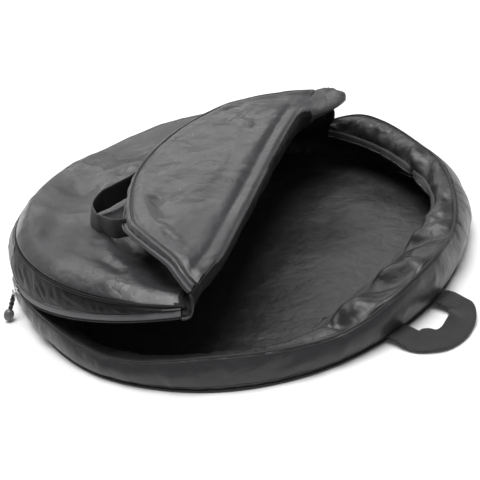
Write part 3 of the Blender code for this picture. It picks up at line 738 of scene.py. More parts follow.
def lid_z(x, y):
    """Height of the plain lid cloth, without folds."""
    dx, dy = x - LID_MID[0], y - LID_MID[1]
    d = np.maximum(np.hypot(dx, dy), 1e-9)
    reach = lid_reach(dx / d, dy / d)
    ex, ey = LID_MID[0] + dx / d * reach, LID_MID[1] + dy / d * reach
    edge = np.where(ex > FOLD_X - 1e-6, FOLD_Z, lid_edge_z(np.degrees(np.arctan2(ey, ex))))
    t = np.minimum(d / reach, 1.0)
    return LID_MID_Z + (edge - LID_MID_Z) * t * t


def flap_point(u, v):
    p, c = FLAP_LEAVES, FLAP_CURL
    return np.stack(np.broadcast_arrays(
        HINGE_X + (np.sin(p + c * u) - math.sin(p)) / c, v,
        HINGE_Z + (math.cos(p) - np.cos(p + c * u)) / c), -1)


def flap_start(v):
    x = curve(FLAP_X, np.asarray(v) * 1000, periodic=False)
    lean = math.sin(FLAP_LEAVES) + FLAP_CURL * (x - HINGE_X)
    return (math.pi - np.arcsin(lean) - FLAP_LEAVES) / FLAP_CURL


def flap_end(sign):
    a = sign * 1.2
    for _ in range(20):
        a = sign * math.acos((HINGE_X + flap_start(FLAP_R * math.sin(a))) / FLAP_R)
    return a


FLAP_FROM, FLAP_TO = flap_end(-1), flap_end(1)


def corner_pull(p, s):
    """The front corner of the flap is drawn back along the fold; s is the
    distance from the fold."""
    k = step(-0.275, -0.336, p[..., 1]) * np.exp(-(np.maximum(s, 0) / 0.030) ** 2)
    q = p.copy()
    q[..., 0] -= 0.0090 * k
    q[..., 2] -= 0.0083 * k
    return q


def flap_edge(a, out=0.0):
    a = np.asarray(a, float)
    r = FLAP_R + out + curve(FLAP_TRIM, np.degrees(a), periodic=False)
    u, v = r * np.cos(a) - HINGE_X, r * np.sin(a)
    return corner_pull(flap_point(u, v), u - flap_start(v))


def flap_out(a):
    a = np.asarray(a, float)
    return np.stack([-np.cos(a), np.sin(a), 0 * a], -1)


def flap_drop(a):
    e = flap_edge(a)
    drop = curve(SKIRT_DROP, np.degrees(a), periodic=False)
    return np.maximum(0.004, np.minimum(drop, e[..., 2] - lid_z(e[..., 0], e[..., 1]) - 0.013))


def circle_through(a, b, c):
    n = unit(np.cross(b - a, c - a))
    if n[2] < 0:
        n = -n
    ab, ac = b - a, c - a
    u = unit(ab)
    v = np.cross(n, u)
    bx, cx, cy = np.linalg.norm(ab), ac @ u, ac @ v
    x = bx / 2
    y = (cx * cx + cy * cy - bx * cx) / (2 * cy)
    centre = a + u * x + v * y
    return centre, n, np.linalg.norm(a - centre)


ZIP_C, ZIP_N, ZIP_R = circle_through(*[polar(r, d, z) for d, r, z in ZIP_EDGE])


def zip_edge(deg):
    """Points of the lid's zip edge at angles round the bag."""
    a = np.radians(np.asarray(deg, float))
    flat = np.stack([np.cos(a), np.sin(a), 0 * a], -1)
    side = np.stack([-np.sin(a), np.cos(a), 0 * a], -1)
    d = unit(np.cross(side, ZIP_N))
    d = d * np.sign((d * flat).sum(-1, keepdims=True))
    o = np.array([0, 0, ZIP_N @ ZIP_C / ZIP_N[2]])
    oc = o - ZIP_C
    b = d @ oc
    t = -b + np.sqrt(b * b - (oc @ oc - ZIP_R ** 2))
    return o + d * t[..., None]


# =========================================================== camera and light
def make_stage():
    e, roll, turn = math.radians(29.05), math.radians(-8.94), math.radians(24.0)
    back = Vector((0, -math.cos(e), math.sin(e)))
    right = Vector((1, 0, 0))
    up = back.cross(right)
    x = right * math.cos(roll) + up * math.sin(roll)
    y = -right * math.sin(roll) + up * math.cos(roll)
    spin = Matrix.Rotation(turn, 3, "Z")
    x, y, back = spin @ x, spin @ y, spin @ back
    cam = bpy.data.cameras.new("camera")
    cam.lens = 75.0
    cam.sensor_width = 36.0
    cam.sensor_fit = "HORIZONTAL"
    cam.clip_start, cam.clip_end = 0.05, 50.0
    ob = bpy.data.objects.new("camera", cam)
    at = Vector((0.61734, -1.37656, 0.85841))
    ob.matrix_world = Matrix((
        (x.x, y.x, back.x, at.x), (x.y, y.y, back.y, at.y),
        (x.z, y.z, back.z, at.z), (0, 0, 0, 1)))
    bpy.context.scene.collection.objects.link(ob)
    bpy.context.scene.camera = ob

    bm_r = 6.0
    n = 64
    ring = [(bm_r * math.cos(2 * math.pi * k / n), bm_r * math.sin(2 * math.pi * k / n), -0.0003)
            for k in range(n)]
    me = bpy.data.meshes.new("floor")
    me.from_pydata(ring, [], [tuple(range(n))])
    floor = bpy.data.objects.new("floor", me)
    bpy.context.scene.collection.objects.link(floor)
    mat = bpy.data.materials.new("pale floor")
    mat.use_nodes = True
    b = mat.node_tree.nodes["Principled BSDF"]
    b.inputs["Base Color"].default_value = (0.93, 0.93, 0.93, 1)
    b.inputs["Roughness"].default_value = 0.9
    b.inputs["Specular IOR Level"].default_value = 0.1
    me.materials.append(mat)

    world = bpy.data.worlds.new("studio")
    bpy.context.scene.world = world
    world.use_nodes = True
    world.node_tree.nodes["Background"].inputs["Color"].default_value = (1, 1, 1, 1)
    world.node_tree.nodes["Background"].inputs["Strength"].default_value = 0.26

    sun = bpy.data.lights.new("overhead softbox", "SUN")
    sun.energy = 3.2
    sun.angle = math.radians(46)
    so = bpy.data.objects.new("overhead softbox", sun)
    d = Vector((-0.04, 0.04, 1.0)).normalized()
    so.rotation_mode = "QUATERNION"
    so.rotation_quaternion = d.to_track_quat("Z", "Y")
    so.location = d * 3
    bpy.context.scene.collection.objects.link(so)
    panel = bpy.data.lights.new("rear softbox", "AREA")
    panel.shape = "RECTANGLE"
    panel.size, panel.size_y = 2.4, 0.7
    panel.energy = 15.0
    po = bpy.data.objects.new("rear softbox", panel)
    at = Vector((-1.15, 2.15, 1.55))
    po.rotation_mode = "QUATERNION"
    po.rotation_quaternion = at.normalized().to_track_quat("Z", "Y")
    po.location = at
    bpy.context.scene.collection.objects.link(po)
    left = bpy.data.lights.new("left softbox", "AREA")
    left.shape = "RECTANGLE"
    left.size, left.size_y = 1.5, 0.9
    left.energy = 13.0
    lo = bpy.data.objects.new("left softbox", left)
    at = Vector((-2.15, 0.75, 1.75))
    lo.rotation_mode = "QUATERNION"
    lo.rotation_quaternion = at.normalized().to_track_quat("Z", "Y")
    lo.location = at
    bpy.context.scene.collection.objects.link(lo)
    bpy.context.scene.view_settings.view_transform = "Standard"


make_stage()


# ================================================================ base pieces
def make_floor_panel():
    cols, rows = 300, 62
    deg = np.arange(cols) * 360.0 / cols
    a = np.radians(deg)
    edge = curve(BASE_R, deg) - BOTTOM_IN
    t = np.concatenate([np.linspace(0.02, 0.97, rows - 6), [0.978, 0.985, 0.991, 0.996, 0.999, 1.0]])
    r = t[:, None] * edge[None]
    x, y = r * np.cos(a), r * np.sin(a)
    p = np.stack([x, y, 0 * x], -1)
    slack = step(1.0, 0.86, t)[:, None]
    h = (0.0045 * (ridges(p * 5.2 + 3.1, 5) + 0.25) + 0.0022 * ridges(p * 12.0, 9)
         + 0.0007 * perlin(p * 34.0, 2))
    h = np.maximum(h, -0.0012)
    z = 0.0052 + h * slack - 0.0012 * (1 - slack)
    p[..., 2] = z
    top = p
    low = p.copy()
    low[..., 2] = 0.0
    n = rows * cols
    mid_top = np.array([[0, 0, 0.0065]])
    mid_low = np.array([[0, 0, 0.0]])
    v = np.concatenate([top.reshape(-1, 3), low.reshape(-1, 3), mid_top, mid_low])
    uv = v[:, :2].copy()
    up = grid_faces(rows, cols, closed=True)
    down = [tuple(b + n for b in f[::-1]) for f in up]
    side, cap = [], []
    for j in range(cols):
        k = (j + 1) % cols
        o = (rows - 1) * cols
        side.append((o + j, o + k, n + o + k, n + o + j)[::-1])
        cap.append((2 * n, j, k))
        cap.append((2 * n + 1, n + k, n + j))
    faces = [f[::-1] for f in up] + [f[::-1] for f in down] + side + cap
    idx = [0] * len(up) + [1] * len(down) + [1] * len(side) + [0, 1] * cols
    ob = build("bag_floor_panel", v, faces, uv, [MAT["inside"], MAT["outer"]], idx)
    fix_out(ob)
    put(ob, "base", "bottom_panel")
    deg = np.arange(0, 360, 1.0)
    ring = polar(curve(BASE_R, deg) + 0.0018, deg, 0.0024)
    put(tube("floor_seam_piping", ring, 0.0018, [MAT["pipe"]], 8, closed=True),
        "base", "bottom_seam_piping")


def gusset_point(deg, f):
    rim, top = curve(RIM_R, deg), curve(RIM_Z, deg) - 0.0012
    mid = curve(BULGE_R, deg)
    z = 0.0052 + (top - 0.0052) * f
    r = ((1 - f) * (1 - 2 * f) * curve(BASE_R, deg) + 4 * f * (1 - f) * mid
         + f * (2 * f - 1) * rim)
    return r, z


def make_gusset():
    cols, rows = 640, 19
    deg = np.arange(cols) * 360.0 / cols
    f = np.linspace(0, 1, rows)
    d, g = np.meshgrid(deg, f)
    r, z = gusset_point(d, g)
    p = polar(r, d, z)
    arc = np.radians(d) * 0.38
    hang = np.sin(np.pi * g) ** 0.7
    q = np.stack([arc / 0.050, z / 0.06 + 0.35 * np.sin(arc / 0.09), 0 * arc + 0.5], -1)
    # periodic round the bag: noise is taken on the wall itself
    w = np.stack([np.cos(np.radians(d)), np.sin(np.radians(d))], -1) * 0.38
    q1 = np.concatenate([w / 0.085, z[..., None] / 0.075], -1)
    q2 = np.concatenate([w / 0.046, z[..., None] / 0.060], -1)
    q3 = np.concatenate([w / 0.014, z[..., None] / 0.060], -1)
    pucker = (step(0.28, 0.0, g) + step(0.72, 1.0, g))
    calm = 1 - 0.55 * np.exp(-((d - 35) / 22) ** 2)
    out = (0.0050 * perlin(q1, 3) * hang + 0.0042 * (crumple(q2, 4) + 0.1) * hang
           + 0.0013 * perlin(q3, 8) * pucker) * calm
    # crumpled creases all round the wall, calmer near 35 degrees
    p = p + grid_normals(p, closed=True) * out[..., None]
    ob = cloth("side_gusset", p, 0.0024, [MAT["outer"], MAT["inside"]], closed=True)
    put(ob, "base", "lower_gusset")
    deg = np.arange(0, 360, 0.75)
    rim = polar(curve(RIM_R, deg), deg, curve(RIM_Z, deg) + 0 * deg)
    put(tube("rim_seam", rim, 0.0017, [MAT["pipe"]], 8, closed=True), "base", "rim_seam_piping")
    # topstitching under the rim seam and over the floor seam
    for name, f0 in (("rim_topstitch", 0.93), ("floor_topstitch", 0.09)):
        i = int(round(f0 * (rows - 1)))
        line = p[i]
        nrm = grid_normals(p, closed=True)[i]
        s = np.concatenate([line, line[:1]])
        m = np.concatenate([nrm, nrm[:1]])
        put(stitches(name, s + m * 0.0012, m, [MAT["thread"]]), "base", None)


def strip_frame(d):
    rim = np.stack([curve(RIM_R, d), curve(RIM_Z, d)], -1)
    edge = np.stack([curve(STRIP_R, np.where(d < 200, d + 360, d), False),
                     curve(STRIP_Z, np.where(d < 200, d + 360, d), False)], -1)
    return rim, edge, unit(edge - rim)


def make_zip_strip():
    deg = np.linspace(221.0, 437.0, 330)
    f = np.linspace(0, 1, 17)
    rim, edge, way = strip_frame(deg)
    a = rim + way * 0.0018
    d, g = np.meshgrid(deg, f)
    p2 = a[None] + (edge - a)[None] * g[..., None]
    span = np.linalg.norm(edge - a, axis=1)[None]
    arc = np.radians(d) * 0.35
    loose = step(0.0, 0.35, g) * (0.35 + 0.65 * step(0.02, 0.06, span))
    q1 = np.stack([arc / 0.052 + g * 0.8, g * 0.9 + 3, 0 * g + 7.7], -1)
    q2 = np.stack([arc / 0.023 - g * 0.9, g * 1.3 + 1, 0 * g + 2.3], -1)
    edge_calm = 1 - 0.75 * step(0.72, 1.0, g)
    lift = (0.006 * np.sin(np.pi * g) + 0.0105 * (crumple(q1, 12) + 0.1) * loose * edge_calm
            + 0.0056 * (crumple(q2, 13)) * loose * edge_calm)
    # a tuck where the band turns in, and radial folds over the right side
    for at, wide, high in ((313.5, 2.2, -0.010), (320.5, 3.0, 0.007), (331.0, 3.2, -0.008),
                           (337.0, 2.6, 0.009), (351.0, 2.6, -0.006), (357.0, 2.2, 0.008),
                           (366.0, 3.0, 0.008), (371.5, 2.6, -0.008), (384.0, 3.0, 0.006),
                           (392.0, 2.4, -0.007), (399.0, 2.2, 0.008)):
        lift = lift + 1.35 * high * np.exp(-((d - at + (g - 0.5) * 5) / wide) ** 2) * np.sin(
            np.pi * np.clip(g * 0.9 + 0.05, 0, 1)) ** 0.8
    nx, nz = -way[:, 1], way[:, 0]
    sign = np.sign(nz)
    nx, nz = nx * sign, nz * sign
    rr = p2[..., 0] + nx[None] * lift
    zz = np.maximum(p2[..., 1] + nz[None] * lift, 0.0105)
    p = polar(rr, d, zz)
    ob = cloth("zip_band", p, 0.0020, [MAT["strip"], MAT["inside"]], closed=False)
    put(ob, "base", "zip_strip_base")
    nrm = grid_normals(p)
    last, nl = p[-1], nrm[-1]
    nl = nl * np.sign(nl[:, 2:3])
    across = unit(p[-1] - p[-2])
    across[:, 2] = np.clip(across[:, 2], -0.8, 0.5)
    across = unit(across)
    rowsp = []
    for w, lift in ((-0.0035, 0.0012), (0.0005, 0.0016), (0.0045, 0.0012), (TAPE_W, 0.0008)):
        q = last + across * w + nl * lift
        q[:, 2] = np.maximum(q[:, 2], 0.0112)
        rowsp.append(q)
    tape = np.array(rowsp)
    put(cloth("zip_band_tape", tape, 0.0011, [MAT["tape_dark"]]), "base", "zip_tape_base")
    line = tape[-1] + across * 0.0012
    line[:, 2] = np.maximum(line[:, 2], 0.0118)
    put(teeth("zip_band_teeth", line, across, [MAT["coil"]]), "base", "zip_coil_base")
    put(stitches("zip_band_stitches", tape[1] + nl * 0.0006, nl, [MAT["thread"]]),
        "base", None)
    m = 1
    put(stitches("rim_inner_topstitch", p[m] + nrm[m] * np.sign(nrm[m][:, 2:3]) * 0.0011,
                 nrm[m] * np.sign(nrm[m][:, 2:3]), [MAT["thread"]]), "base", None)


def make_rear_band():
    deg = np.linspace(77.5, 217.0, 214)
    f = np.linspace(0, 1, 19)
    d, g = np.meshgrid(deg, f)
    r0, z0 = curve(RIM_R, d), curve(RIM_Z, d) + 0.0010
    r1, z1 = LID_R + 0.0016, lid_edge_z(d) - 0.0060
    full = 0.030 + 0.034 * np.exp(-((d - 200) / 14) ** 2)
    r = r0 + (r1 - r0) * g + full * g * (1 - g)
    p = polar(r, d, z0 + (z1 - z0) * g)
    arc = np.radians(d) * 0.37
    hang = np.sin(np.pi * g) ** 0.7
    q1 = np.stack([arc / 0.070, p[..., 2] / 0.05 + arc * 4, 0 * arc + 1.5], -1)
    q2 = np.stack([arc / 0.026, p[..., 2] / 0.036, 0 * arc + 4.5], -1)
    out = 0.0055 * perlin(q1, 21) * hang + 0.0042 * crumple(q2, 22) * hang
    n = grid_normals(p)
    n = n * np.sign((n * polar(1.0, d, 0 * d)).sum(-1, keepdims=True))
    p = p + n * out[..., None]
    put(cloth("rear_band", p, 0.0022, [MAT["outer"], MAT["inside"]]), "base", "rear_gusset")
    for name, i in (("rear_band_topstitch_low", 1), ("rear_band_topstitch_high", -2)):
        put(stitches(name, p[i] + n[i] * 0.0012, n[i], [MAT["thread"]]), "base", None)


# ================================================================= lid pieces
def lid_folds(x, y):
    """Height of the lid's wrinkles over its plain shape."""
    p = np.stack([x, y, 0 * x], -1)
    h = (0.0140 * perlin(p * 4.6 + 2.6, 35) + 0.0090 * crumple(p * 6.2 + 11.3, 31) + 0.0052 * crumple(p * 13.0 + 4.0, 32)
         + 0.0015 * crumple(p * 29.0, 33))
    # folds that are seen on the lid: near the left edge, across the middle,
    # towards the front corner and along the drape beside the flap
    h += creases(x, y, (
        (-0.345, -0.075, -0.310, -0.125, 0.010, 0.006),
        (-0.240, -0.215, -0.195, -0.195, 0.026, -0.007),
        (-0.300, -0.020, -0.235, -0.045, 0.024, -0.007),
        (-0.318, -0.045, -0.285, -0.062, 0.012, 0.005),
        (-0.225, -0.140, -0.185, -0.172, 0.007, 0.004),
        (-0.215, -0.118, -0.175, -0.132, 0.005, 0.003),
        (-0.165, -0.262, -0.105, -0.300, 0.014, 0.004),
        (-0.150, -0.215, -0.128, -0.222, 0.006, -0.003),
        (-0.112, -0.182, -0.048, -0.245, 0.022, -0.008),
        (-0.040, -0.252, 0.050, -0.322, 0.026, -0.013),
        (-0.052, -0.246, -0.040, -0.252, 0.009, 0.006),
        (-0.142, -0.186, -0.094, -0.256, 0.012, 0.004),
        (-0.090, -0.260, -0.035, -0.306, 0.013, 0.003),
        (-0.205, -0.215, -0.245, -0.226, 0.024, -0.007),
        (-0.172, -0.215, -0.150, -0.262, 0.024, -0.007),
        (-0.125, -0.250, -0.045, -0.303, 0.015, -0.007),
        (-0.262, -0.120, -0.225, -0.190, 0.022, -0.006),
        (-0.215, -0.060, -0.190, 0.000, 0.024, -0.006),
        (-0.300, 0.010, -0.262, -0.040, 0.030, -0.006),
        (-0.250, 0.030, -0.190, 0.060, 0.020, 0.006),
        (-0.150, -0.230, -0.110, -0.252, 0.016, 0.005),
        (-0.230, 0.045, -0.160, 0.095, 0.022, 0.005),
        (-0.260, 0.090, -0.200, 0.150, 0.014, -0.005),
        (-0.150, 0.060, -0.090, 0.180, 0.012, 0.005)))
    return h


def make_lid():
    cols, rows = 360, 58
    a = (np.arange(cols) + 0.5) * 2 * math.pi / cols
    dx, dy = np.cos(a), np.sin(a)
    reach = lid_reach(dx, dy) - 0.0022
    t = np.concatenate([np.linspace(0.03, 0.90, rows - 14), np.linspace(0.905, 1.0, 14)])
    x = LID_MID[0] + dx[None] * reach[None] * t[:, None]
    y = LID_MID[1] + dy[None] * reach[None] * t[:, None]
    z = lid_z(x, y)
    inside = LID_R - np.hypot(x, y)
    edge_deg = np.degrees(np.arctan2(y, x)) % 360
    puff = step(88.0, 112.0, edge_deg) * (1 - 0.25 * step(225.0, 255.0, edge_deg)) * step(
        279.0, 258.0, edge_deg)
    puff = np.maximum(puff, 0.25)
    q = np.clip(inside / 0.034, 0, 1)
    crown = 0.0175 * np.sqrt(np.maximum(1 - (1 - q) ** 2, 0)) * puff
    crown = crown - 0.0135 * puff * step(0.030, 0.125, inside)
    calm = (0.12 + 0.88 * step(0.0, 0.050, inside)) * step(0.0, 0.02, FOLD_X - x) * step(0, 0.012, inside)
    # the cloth lies quieter under the handle that rests on it
    under = np.exp(-(((x + 0.166) / 0.050) ** 2 + ((y + 0.148) / 0.075) ** 2) ** 2)
    folds = lid_folds(x, y)
    folds = folds * (1 - 0.85 * under) - 0.0045 * under
    z = z + crown + folds * calm - 0.0085 * (1 - step(0, 0.030, inside))
    z = np.where(x > 0.03, z - 0.0020 * step(0.03, 0.056, x), z)
    p = np.stack([x, y, z], -1)
    centre = np.array([[LID_MID[0], LID_MID[1], z[0].mean()]])
    v = np.concatenate([p.reshape(-1, 3), centre])
    faces = grid_faces(rows, cols, closed=True, flip=False)
    faces = [f[::-1] for f in faces]
    faces += [(rows * cols, j, (j + 1) % cols) for j in range(cols)]
    uv = v[:, :2].copy()
    n = face_normals(v, faces)
    if n[:, 2].mean() < 0:
        faces = [f[::-1] for f in faces]
    ob = solid("lid_top", v, faces, uv, 0.0022, [MAT["lid"], MAT["inside"], MAT["skirt_painted_shade"]])
    # painted shadow: lid faces at the front corner beside the flap get the near-black skirt nylon
    for f in ob.data.polygons:
        if f.material_index == 0 and f.center.x > 0.050 and f.center.y < -0.25:
            f.material_index = 2
    put(ob, "base", "lid_panel")
    deg = np.linspace(81.5, 280.5, 400)
    line = polar(LID_R + 0.0004, deg, lid_edge_z(deg) - 0.0076)
    put(tube("lid_edge_seam", line, 0.0031, [MAT["skirt_painted_shade"]], 10), "base", "lid_seam_piping")


def make_front_band():
    deg = np.linspace(215.2, 279.6, 124)
    foot = zip_edge(deg)
    rz = np.hypot(foot[:, 0], foot[:, 1])
    low = np.stack([rz - 0.0046, foot[:, 2] + COIL_R + TAPE_W - 0.0006], -1)
    top = np.stack([LID_R + 0.0004 + 0 * deg, lid_edge_z(deg) - 0.0088], -1)
    f = np.linspace(0, 1, 19)
    d, g = np.meshgrid(deg, f)
    p2 = top[None] + (low - top)[None] * g[..., None]
    arc = np.radians(d) * 0.37
    hang = np.sin(np.pi * g) ** 0.8
    q1 = np.stack([arc / 0.055 + g, g * 0.8, 0 * g + 9.1], -1)
    q2 = np.stack([arc / 0.020 - g, g * 1.4, 0 * g + 5.9], -1)
    full = 0.014 + 0.026 * step(240.0, 216.0, d)
    out = (full * g * (1 - g) + 0.0042 * perlin(q1, 41) * hang
           + 0.0034 * crumple(q2, 42) * hang)
    p = polar(p2[..., 0] + out, d, p2[..., 1])
    # the band's face is the near-black skirt nylon: painted shade
    put(cloth("lid_front_band", p, 0.0021, [MAT["skirt_painted_shade"], MAT["inside"]], flip=True),
        "base", "lid_side_band")
    out_dir = polar(1.0, deg, 0 * deg)
    rows = []
    for w in (-0.0030, 0.0, 0.25, 0.55, 0.82, 1.0):
        k = max(w, 0.0)
        r = low[:, 0] + 0.0011 + (rz - low[:, 0] - 0.0006) * k ** 0.8
        z = low[:, 1] - (TAPE_W - 0.0012) * k - (w if w < 0 else 0)
        rows.append(polar(r, deg, z))
    tape = np.array(rows)
    put(cloth("lid_zip_tape", tape, 0.0011, [MAT["tape"]], flip=True), "base", "zip_tape_lid")
    side = unit(tape[-1] - tape[-2])
    put(teeth("lid_zip_teeth", foot, side, [MAT["coil"]]), "base", "zip_coil_lid")
    put(stitches("lid_zip_stitches", tape[1] + out_dir * 0.0008, out_dir, [MAT["thread"]]),
        "base", None)


def flap_wrinkles(x, y):
    p = np.stack([x, y, 0 * x], -1)
    h = (0.0070 * crumple(p * 7.0 + 2.2, 51) + 0.0036 * crumple(p * 15.0 + 1.0, 52)
         + 0.0011 * crumple(p * 33.0, 53))
    h += creases(x, y, (
        (-0.055, -0.150, -0.010, -0.215, 0.019, -0.011),
        (-0.020, -0.235, 0.030, -0.262, 0.010, 0.004),
        (-0.130, 0.030, -0.075, 0.030, 0.006, 0.003),
        (-0.120, 0.045, -0.050, 0.055, 0.005, -0.002),
        (-0.040, 0.150, 0.010, 0.120, 0.009, 0.004),
        (-0.060, 0.110, -0.020, 0.175, 0.006, -0.003),
        (-0.165, -0.060, -0.125, -0.040, 0.006, 0.003),
        (-0.160, -0.020, -0.120, -0.010, 0.005, -0.003),
        (-0.140, -0.110, -0.100, -0.085, 0.006, 0.003)))
    return h


# the zip's line round the front end of the rolled fold, from lid to flap
MOUTH = ((.0617, -.3647, .1140), (.0680, -.3635, .1142), (.0735, -.3605, .1160),
         (.0772, -.3565, .1218), (.0782, -.3525, .1318), (.0762, -.3490, .1392),
         (.0735, -.3465, .1432))


def roll_profile(v):
    """The rolled fold in section at one place along it: from the lid, out
    past the fold and back to the flap."""
    xs, zs = flap_point(flap_start(v), v)[[0, 2]]
    xo, zo = float(curve(ROLL_X, v * 1000, False)), float(curve(ROLL_Z, v * 1000, False))
    x0, z0 = FOLD_X - 0.0060, FOLD_Z - 0.0016
    kf = float(step(0.010, 0.034, xo - xs))
    pts = [(x0, z0)]
    for f, g, k in ((.30, .03, .04), (.55, .10, .20), (.78, .34, .18), (.94, .68, .08), (1, 1, 0)):
        pts.append((x0 + f * (xo - x0), z0 + (g + k * kf) * (zo - z0)))
    pts.append((xs + (xo - xs) * 0.82, zo + (zs - zo) * (0.62 - 0.30 * kf)))
    pts.append((xs + (xo - xs) * 0.45, zo + (zs - zo) * (0.95 - 0.38 * kf)))
    pts.append((xs, zs))
    return np.array(pts)


def flap_reach(v):
    """How far the flap reaches from the hinge line at one place along it."""
    a = np.linspace(FLAP_FROM - 0.02, FLAP_TO + 0.02, 700)
    r = FLAP_R + curve(FLAP_TRIM, np.degrees(a), periodic=False)
    return float(np.interp(v, r * np.sin(a), r * np.cos(a) - HINGE_X))


def make_fold_and_flap():
    a = np.linspace(FLAP_FROM + 0.004, FLAP_TO - 0.004, 170)
    vs = FLAP_R * np.sin(a)
    front = np.array([1.0, 0.86, 0.68, 0.50, 0.32, 0.15])
    v0, v1 = vs[-1], 0.3515
    back = v0 + (v1 - v0) * np.array([.04, .10, .18, .27, .37, .47, .57, .67, .76, .84, .905,
                                      .955, .985])
    nr, nf = 40, 58
    cols = len(front) + len(vs) + len(back)
    grid = np.zeros((nr + nf, cols, 3))
    keep = np.zeros((nr + nf - 1, cols - 1), bool)
    r_in = np.zeros(grid.shape[:2])
    s_in = np.zeros(grid.shape[:2])
    t = np.linspace(0, 1, nf + 1)[1:]
    t = 1 - (1 - t) ** 1.15
    w = np.linspace(0, 1, nr)

    def roll_at(v):
        q = spline(roll_profile(v), nr)
        p = np.stack([q[:, 0], np.full(nr, v), q[:, 1]], -1)
        k = float(step(-0.275, -0.336, v))
        p[:, 0] -= 0.0090 * k * w ** 1.5
        p[:, 2] -= 0.0083 * k * w ** 1.5
        return p

    for j, v in enumerate(vs):
        c = len(front) + j
        us, ue = flap_start(v), flap_reach(v)
        grid[:nr, c] = roll_at(v)
        u = us + (ue - 0.0010 - us) * t
        grid[nr:, c] = corner_pull(flap_point(u, np.full(nf, v)), u - us)
        r_in[nr:, c] = np.minimum(ue - u + 0.001, FLAP_R + 0.004 - np.hypot(u + HINGE_X, v))
        s_in[nr:, c] = u - us
    # the front end closes towards the zip's line
    ring = grid[:nr, len(front)]
    mouth = spline(np.array(MOUTH), nr)
    for j, m in enumerate(front):
        p = ring * (1 - m) + mouth * m
        p = p + np.array([0.30, -0.90, 0.10]) * 0.0045 * math.sin(math.pi * m ** 0.8)
        p[:8, 2] += 0.0030 * math.sin(math.pi * m) * (1 - w[:8] / w[8])
        grid[:nr, j] = p
        grid[nr:, j] = p[-1]
    # the back end is a flattened lobe, closed on its left side as well
    corner = grid[nr - 1, len(front) + len(vs) - 1]
    for j, v in enumerate(back):
        c = len(front) + len(vs) + j
        m = (v - v0) / (v1 - v0)
        q = spline(roll_profile(v), 60)
        left = corner[0] + (0.098 - corner[0]) * m ** 1.5
        start = q[-1, 0]
        q[:, 0] += (left - start) * np.clip((q[:, 1] - 0.148) / (q[-1, 1] - 0.148), 0, 1) ** 1.5 * (
            np.arange(60) > 30)
        shut = float(step(0.0, 0.35, m))
        foot = np.array([0.0552 + 0.012 * m, 0.1292])
        side = [q[-1] * (1 - f) + foot * f + np.array([-0.0035 * math.sin(math.pi * f), 0.0])
                for f in (0.12, 0.32, 0.55, 0.80, 1.0)]
        side = spline(np.array([q[-1]] + side), 40)
        n = int(round(39 * shut)) + 1
        line = np.concatenate([q[::6], q[-1:], side[2:n:4]]) if n > 3 else np.concatenate([q[::6], q[-1:]])
        p = spline(line, nr)
        k = math.sqrt(max(0.0, 1 - m ** 3.2))
        p = np.array([0.094, 0.1490]) + (p - np.array([0.094, 0.1490])) * np.array(
            [max(0.0, 1 - m ** 6) ** 0.5, k])
        p = np.stack([p[:, 0], np.full(nr, v), p[:, 1]], -1)
        grid[:nr, c] = p
        grid[nr:, c] = p[-1]
    j0, j1 = len(front), len(front) + len(vs) - 1
    keep[:nr - 1, :] = True
    keep[nr - 1:, j0:j1] = True
    # shape: padded ridge along the fold, wrinkles, a rounded drop to the seam
    n = grid_normals(grid)
    n = np.where(np.abs(n).sum(-1, keepdims=True) < 0.5, [0, 0, 1.0], n)
    flap = np.zeros(grid.shape[:2], bool)
    flap[nr:, j0:j1 + 1] = True
    up = n * np.where(n[..., 2:3] < 0, -1, 1)
    x, y = grid[..., 0], grid[..., 1]
    ridge = 0.0026 * np.exp(-((s_in - 0.006) / 0.006) ** 2) - 0.0034 * np.exp(
        -((s_in - 0.0205) / 0.0055) ** 2) + 0.0022 * np.exp(-((s_in - 0.037) / 0.012) ** 2)
    ridge = ridge * step(0.0, 0.02, r_in) * (0.60 + 0.40 * step(0.30, 0.10, np.abs(y))) * (
        1 - 0.85 * step(0.180, 0.235, y))
    wr = flap_wrinkles(x, y) * step(0.0, 0.030, s_in) * (
        0.25 + 0.75 * step(0.0, 0.030, r_in)) * step(0, 0.008, r_in)
    drop = -0.0030 * np.clip(1 - r_in / 0.0070, 0, 1) ** 2.0 + 0.0030 * np.exp(
        -((r_in - 0.016) / 0.009) ** 2)
    lift = np.where(flap, ridge + wr + drop, 0.0)
    grid = grid + up * lift[..., None]
    # the roll is not perfectly even along its length
    roll_v = np.stack([grid[:nr, :, 1] / 0.06, grid[:nr, :, 2] / 0.05, 0 * grid[:nr, :, 0]], -1)
    wob = 0.0040 * perlin(roll_v, 57) + 0.0018 * ridges(roll_v * 2.3, 58)
    wob = wob * (1 - 0.75 * step(0.24, 0.30, grid[:nr, :, 1]))
    fade = np.sin(np.pi * w)[:, None] * np.ones(cols)[None]
    fade[:, :len(front)] *= (1 - front)[None]
    nn = n[:nr]
    nn = nn * np.where((nn[..., 0:1] < 0) & (np.abs(nn[..., 0:1]) > 0.2), -1, 1)
    grid[:nr] += nn * (wob * fade)[..., None]
    ob = cloth("lid_fold_and_flap", grid, 0.0021, [MAT["lining"], MAT["inside"], MAT["shade"]],
               keep=keep)
    # lining faces up and out; the side that turns down into the bag and the closed front end get the near-black
    # fold-side nylon: painted shade
    me = ob.data
    up_z = sum(f.normal.z * f.area for f in me.polygons if f.material_index == 0)
    for f in me.polygons:
        if up_z < 0:
            f.material_index = 1 - f.material_index
        c = f.center
        side = c.x > 0.050 and abs(f.normal.z) < 0.60 and c.y < 0.235
        if side or c.y < -0.3335:
            f.material_index = 2
    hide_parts("flap_panel", "lid_fold")
    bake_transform(ob)
    # zip tape and teeth round the front end of the roll; the tape is the near-black fold-side nylon, painted shade
    # at that corner
    out = np.array([0.35, -0.92, 0.15])
    rows = []
    for m, lift in ((2, 0.0010), (1, 0.0015), (0, 0.0015)):
        rows.append(grid[:nr, m] + out * lift)
    tape = np.array(rows)[:, 1:-1]
    tp = cloth("fold_zip_tape", tape, 0.0010, [MAT["shade"]])
    side = unit(tape[-1] - tape[-2])
    coil = teeth("fold_zip_teeth", tape[-1] + side * 0.0012, side, [MAT["coil"]])
    for piece in (tp, coil):
        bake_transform(piece)
    return ob


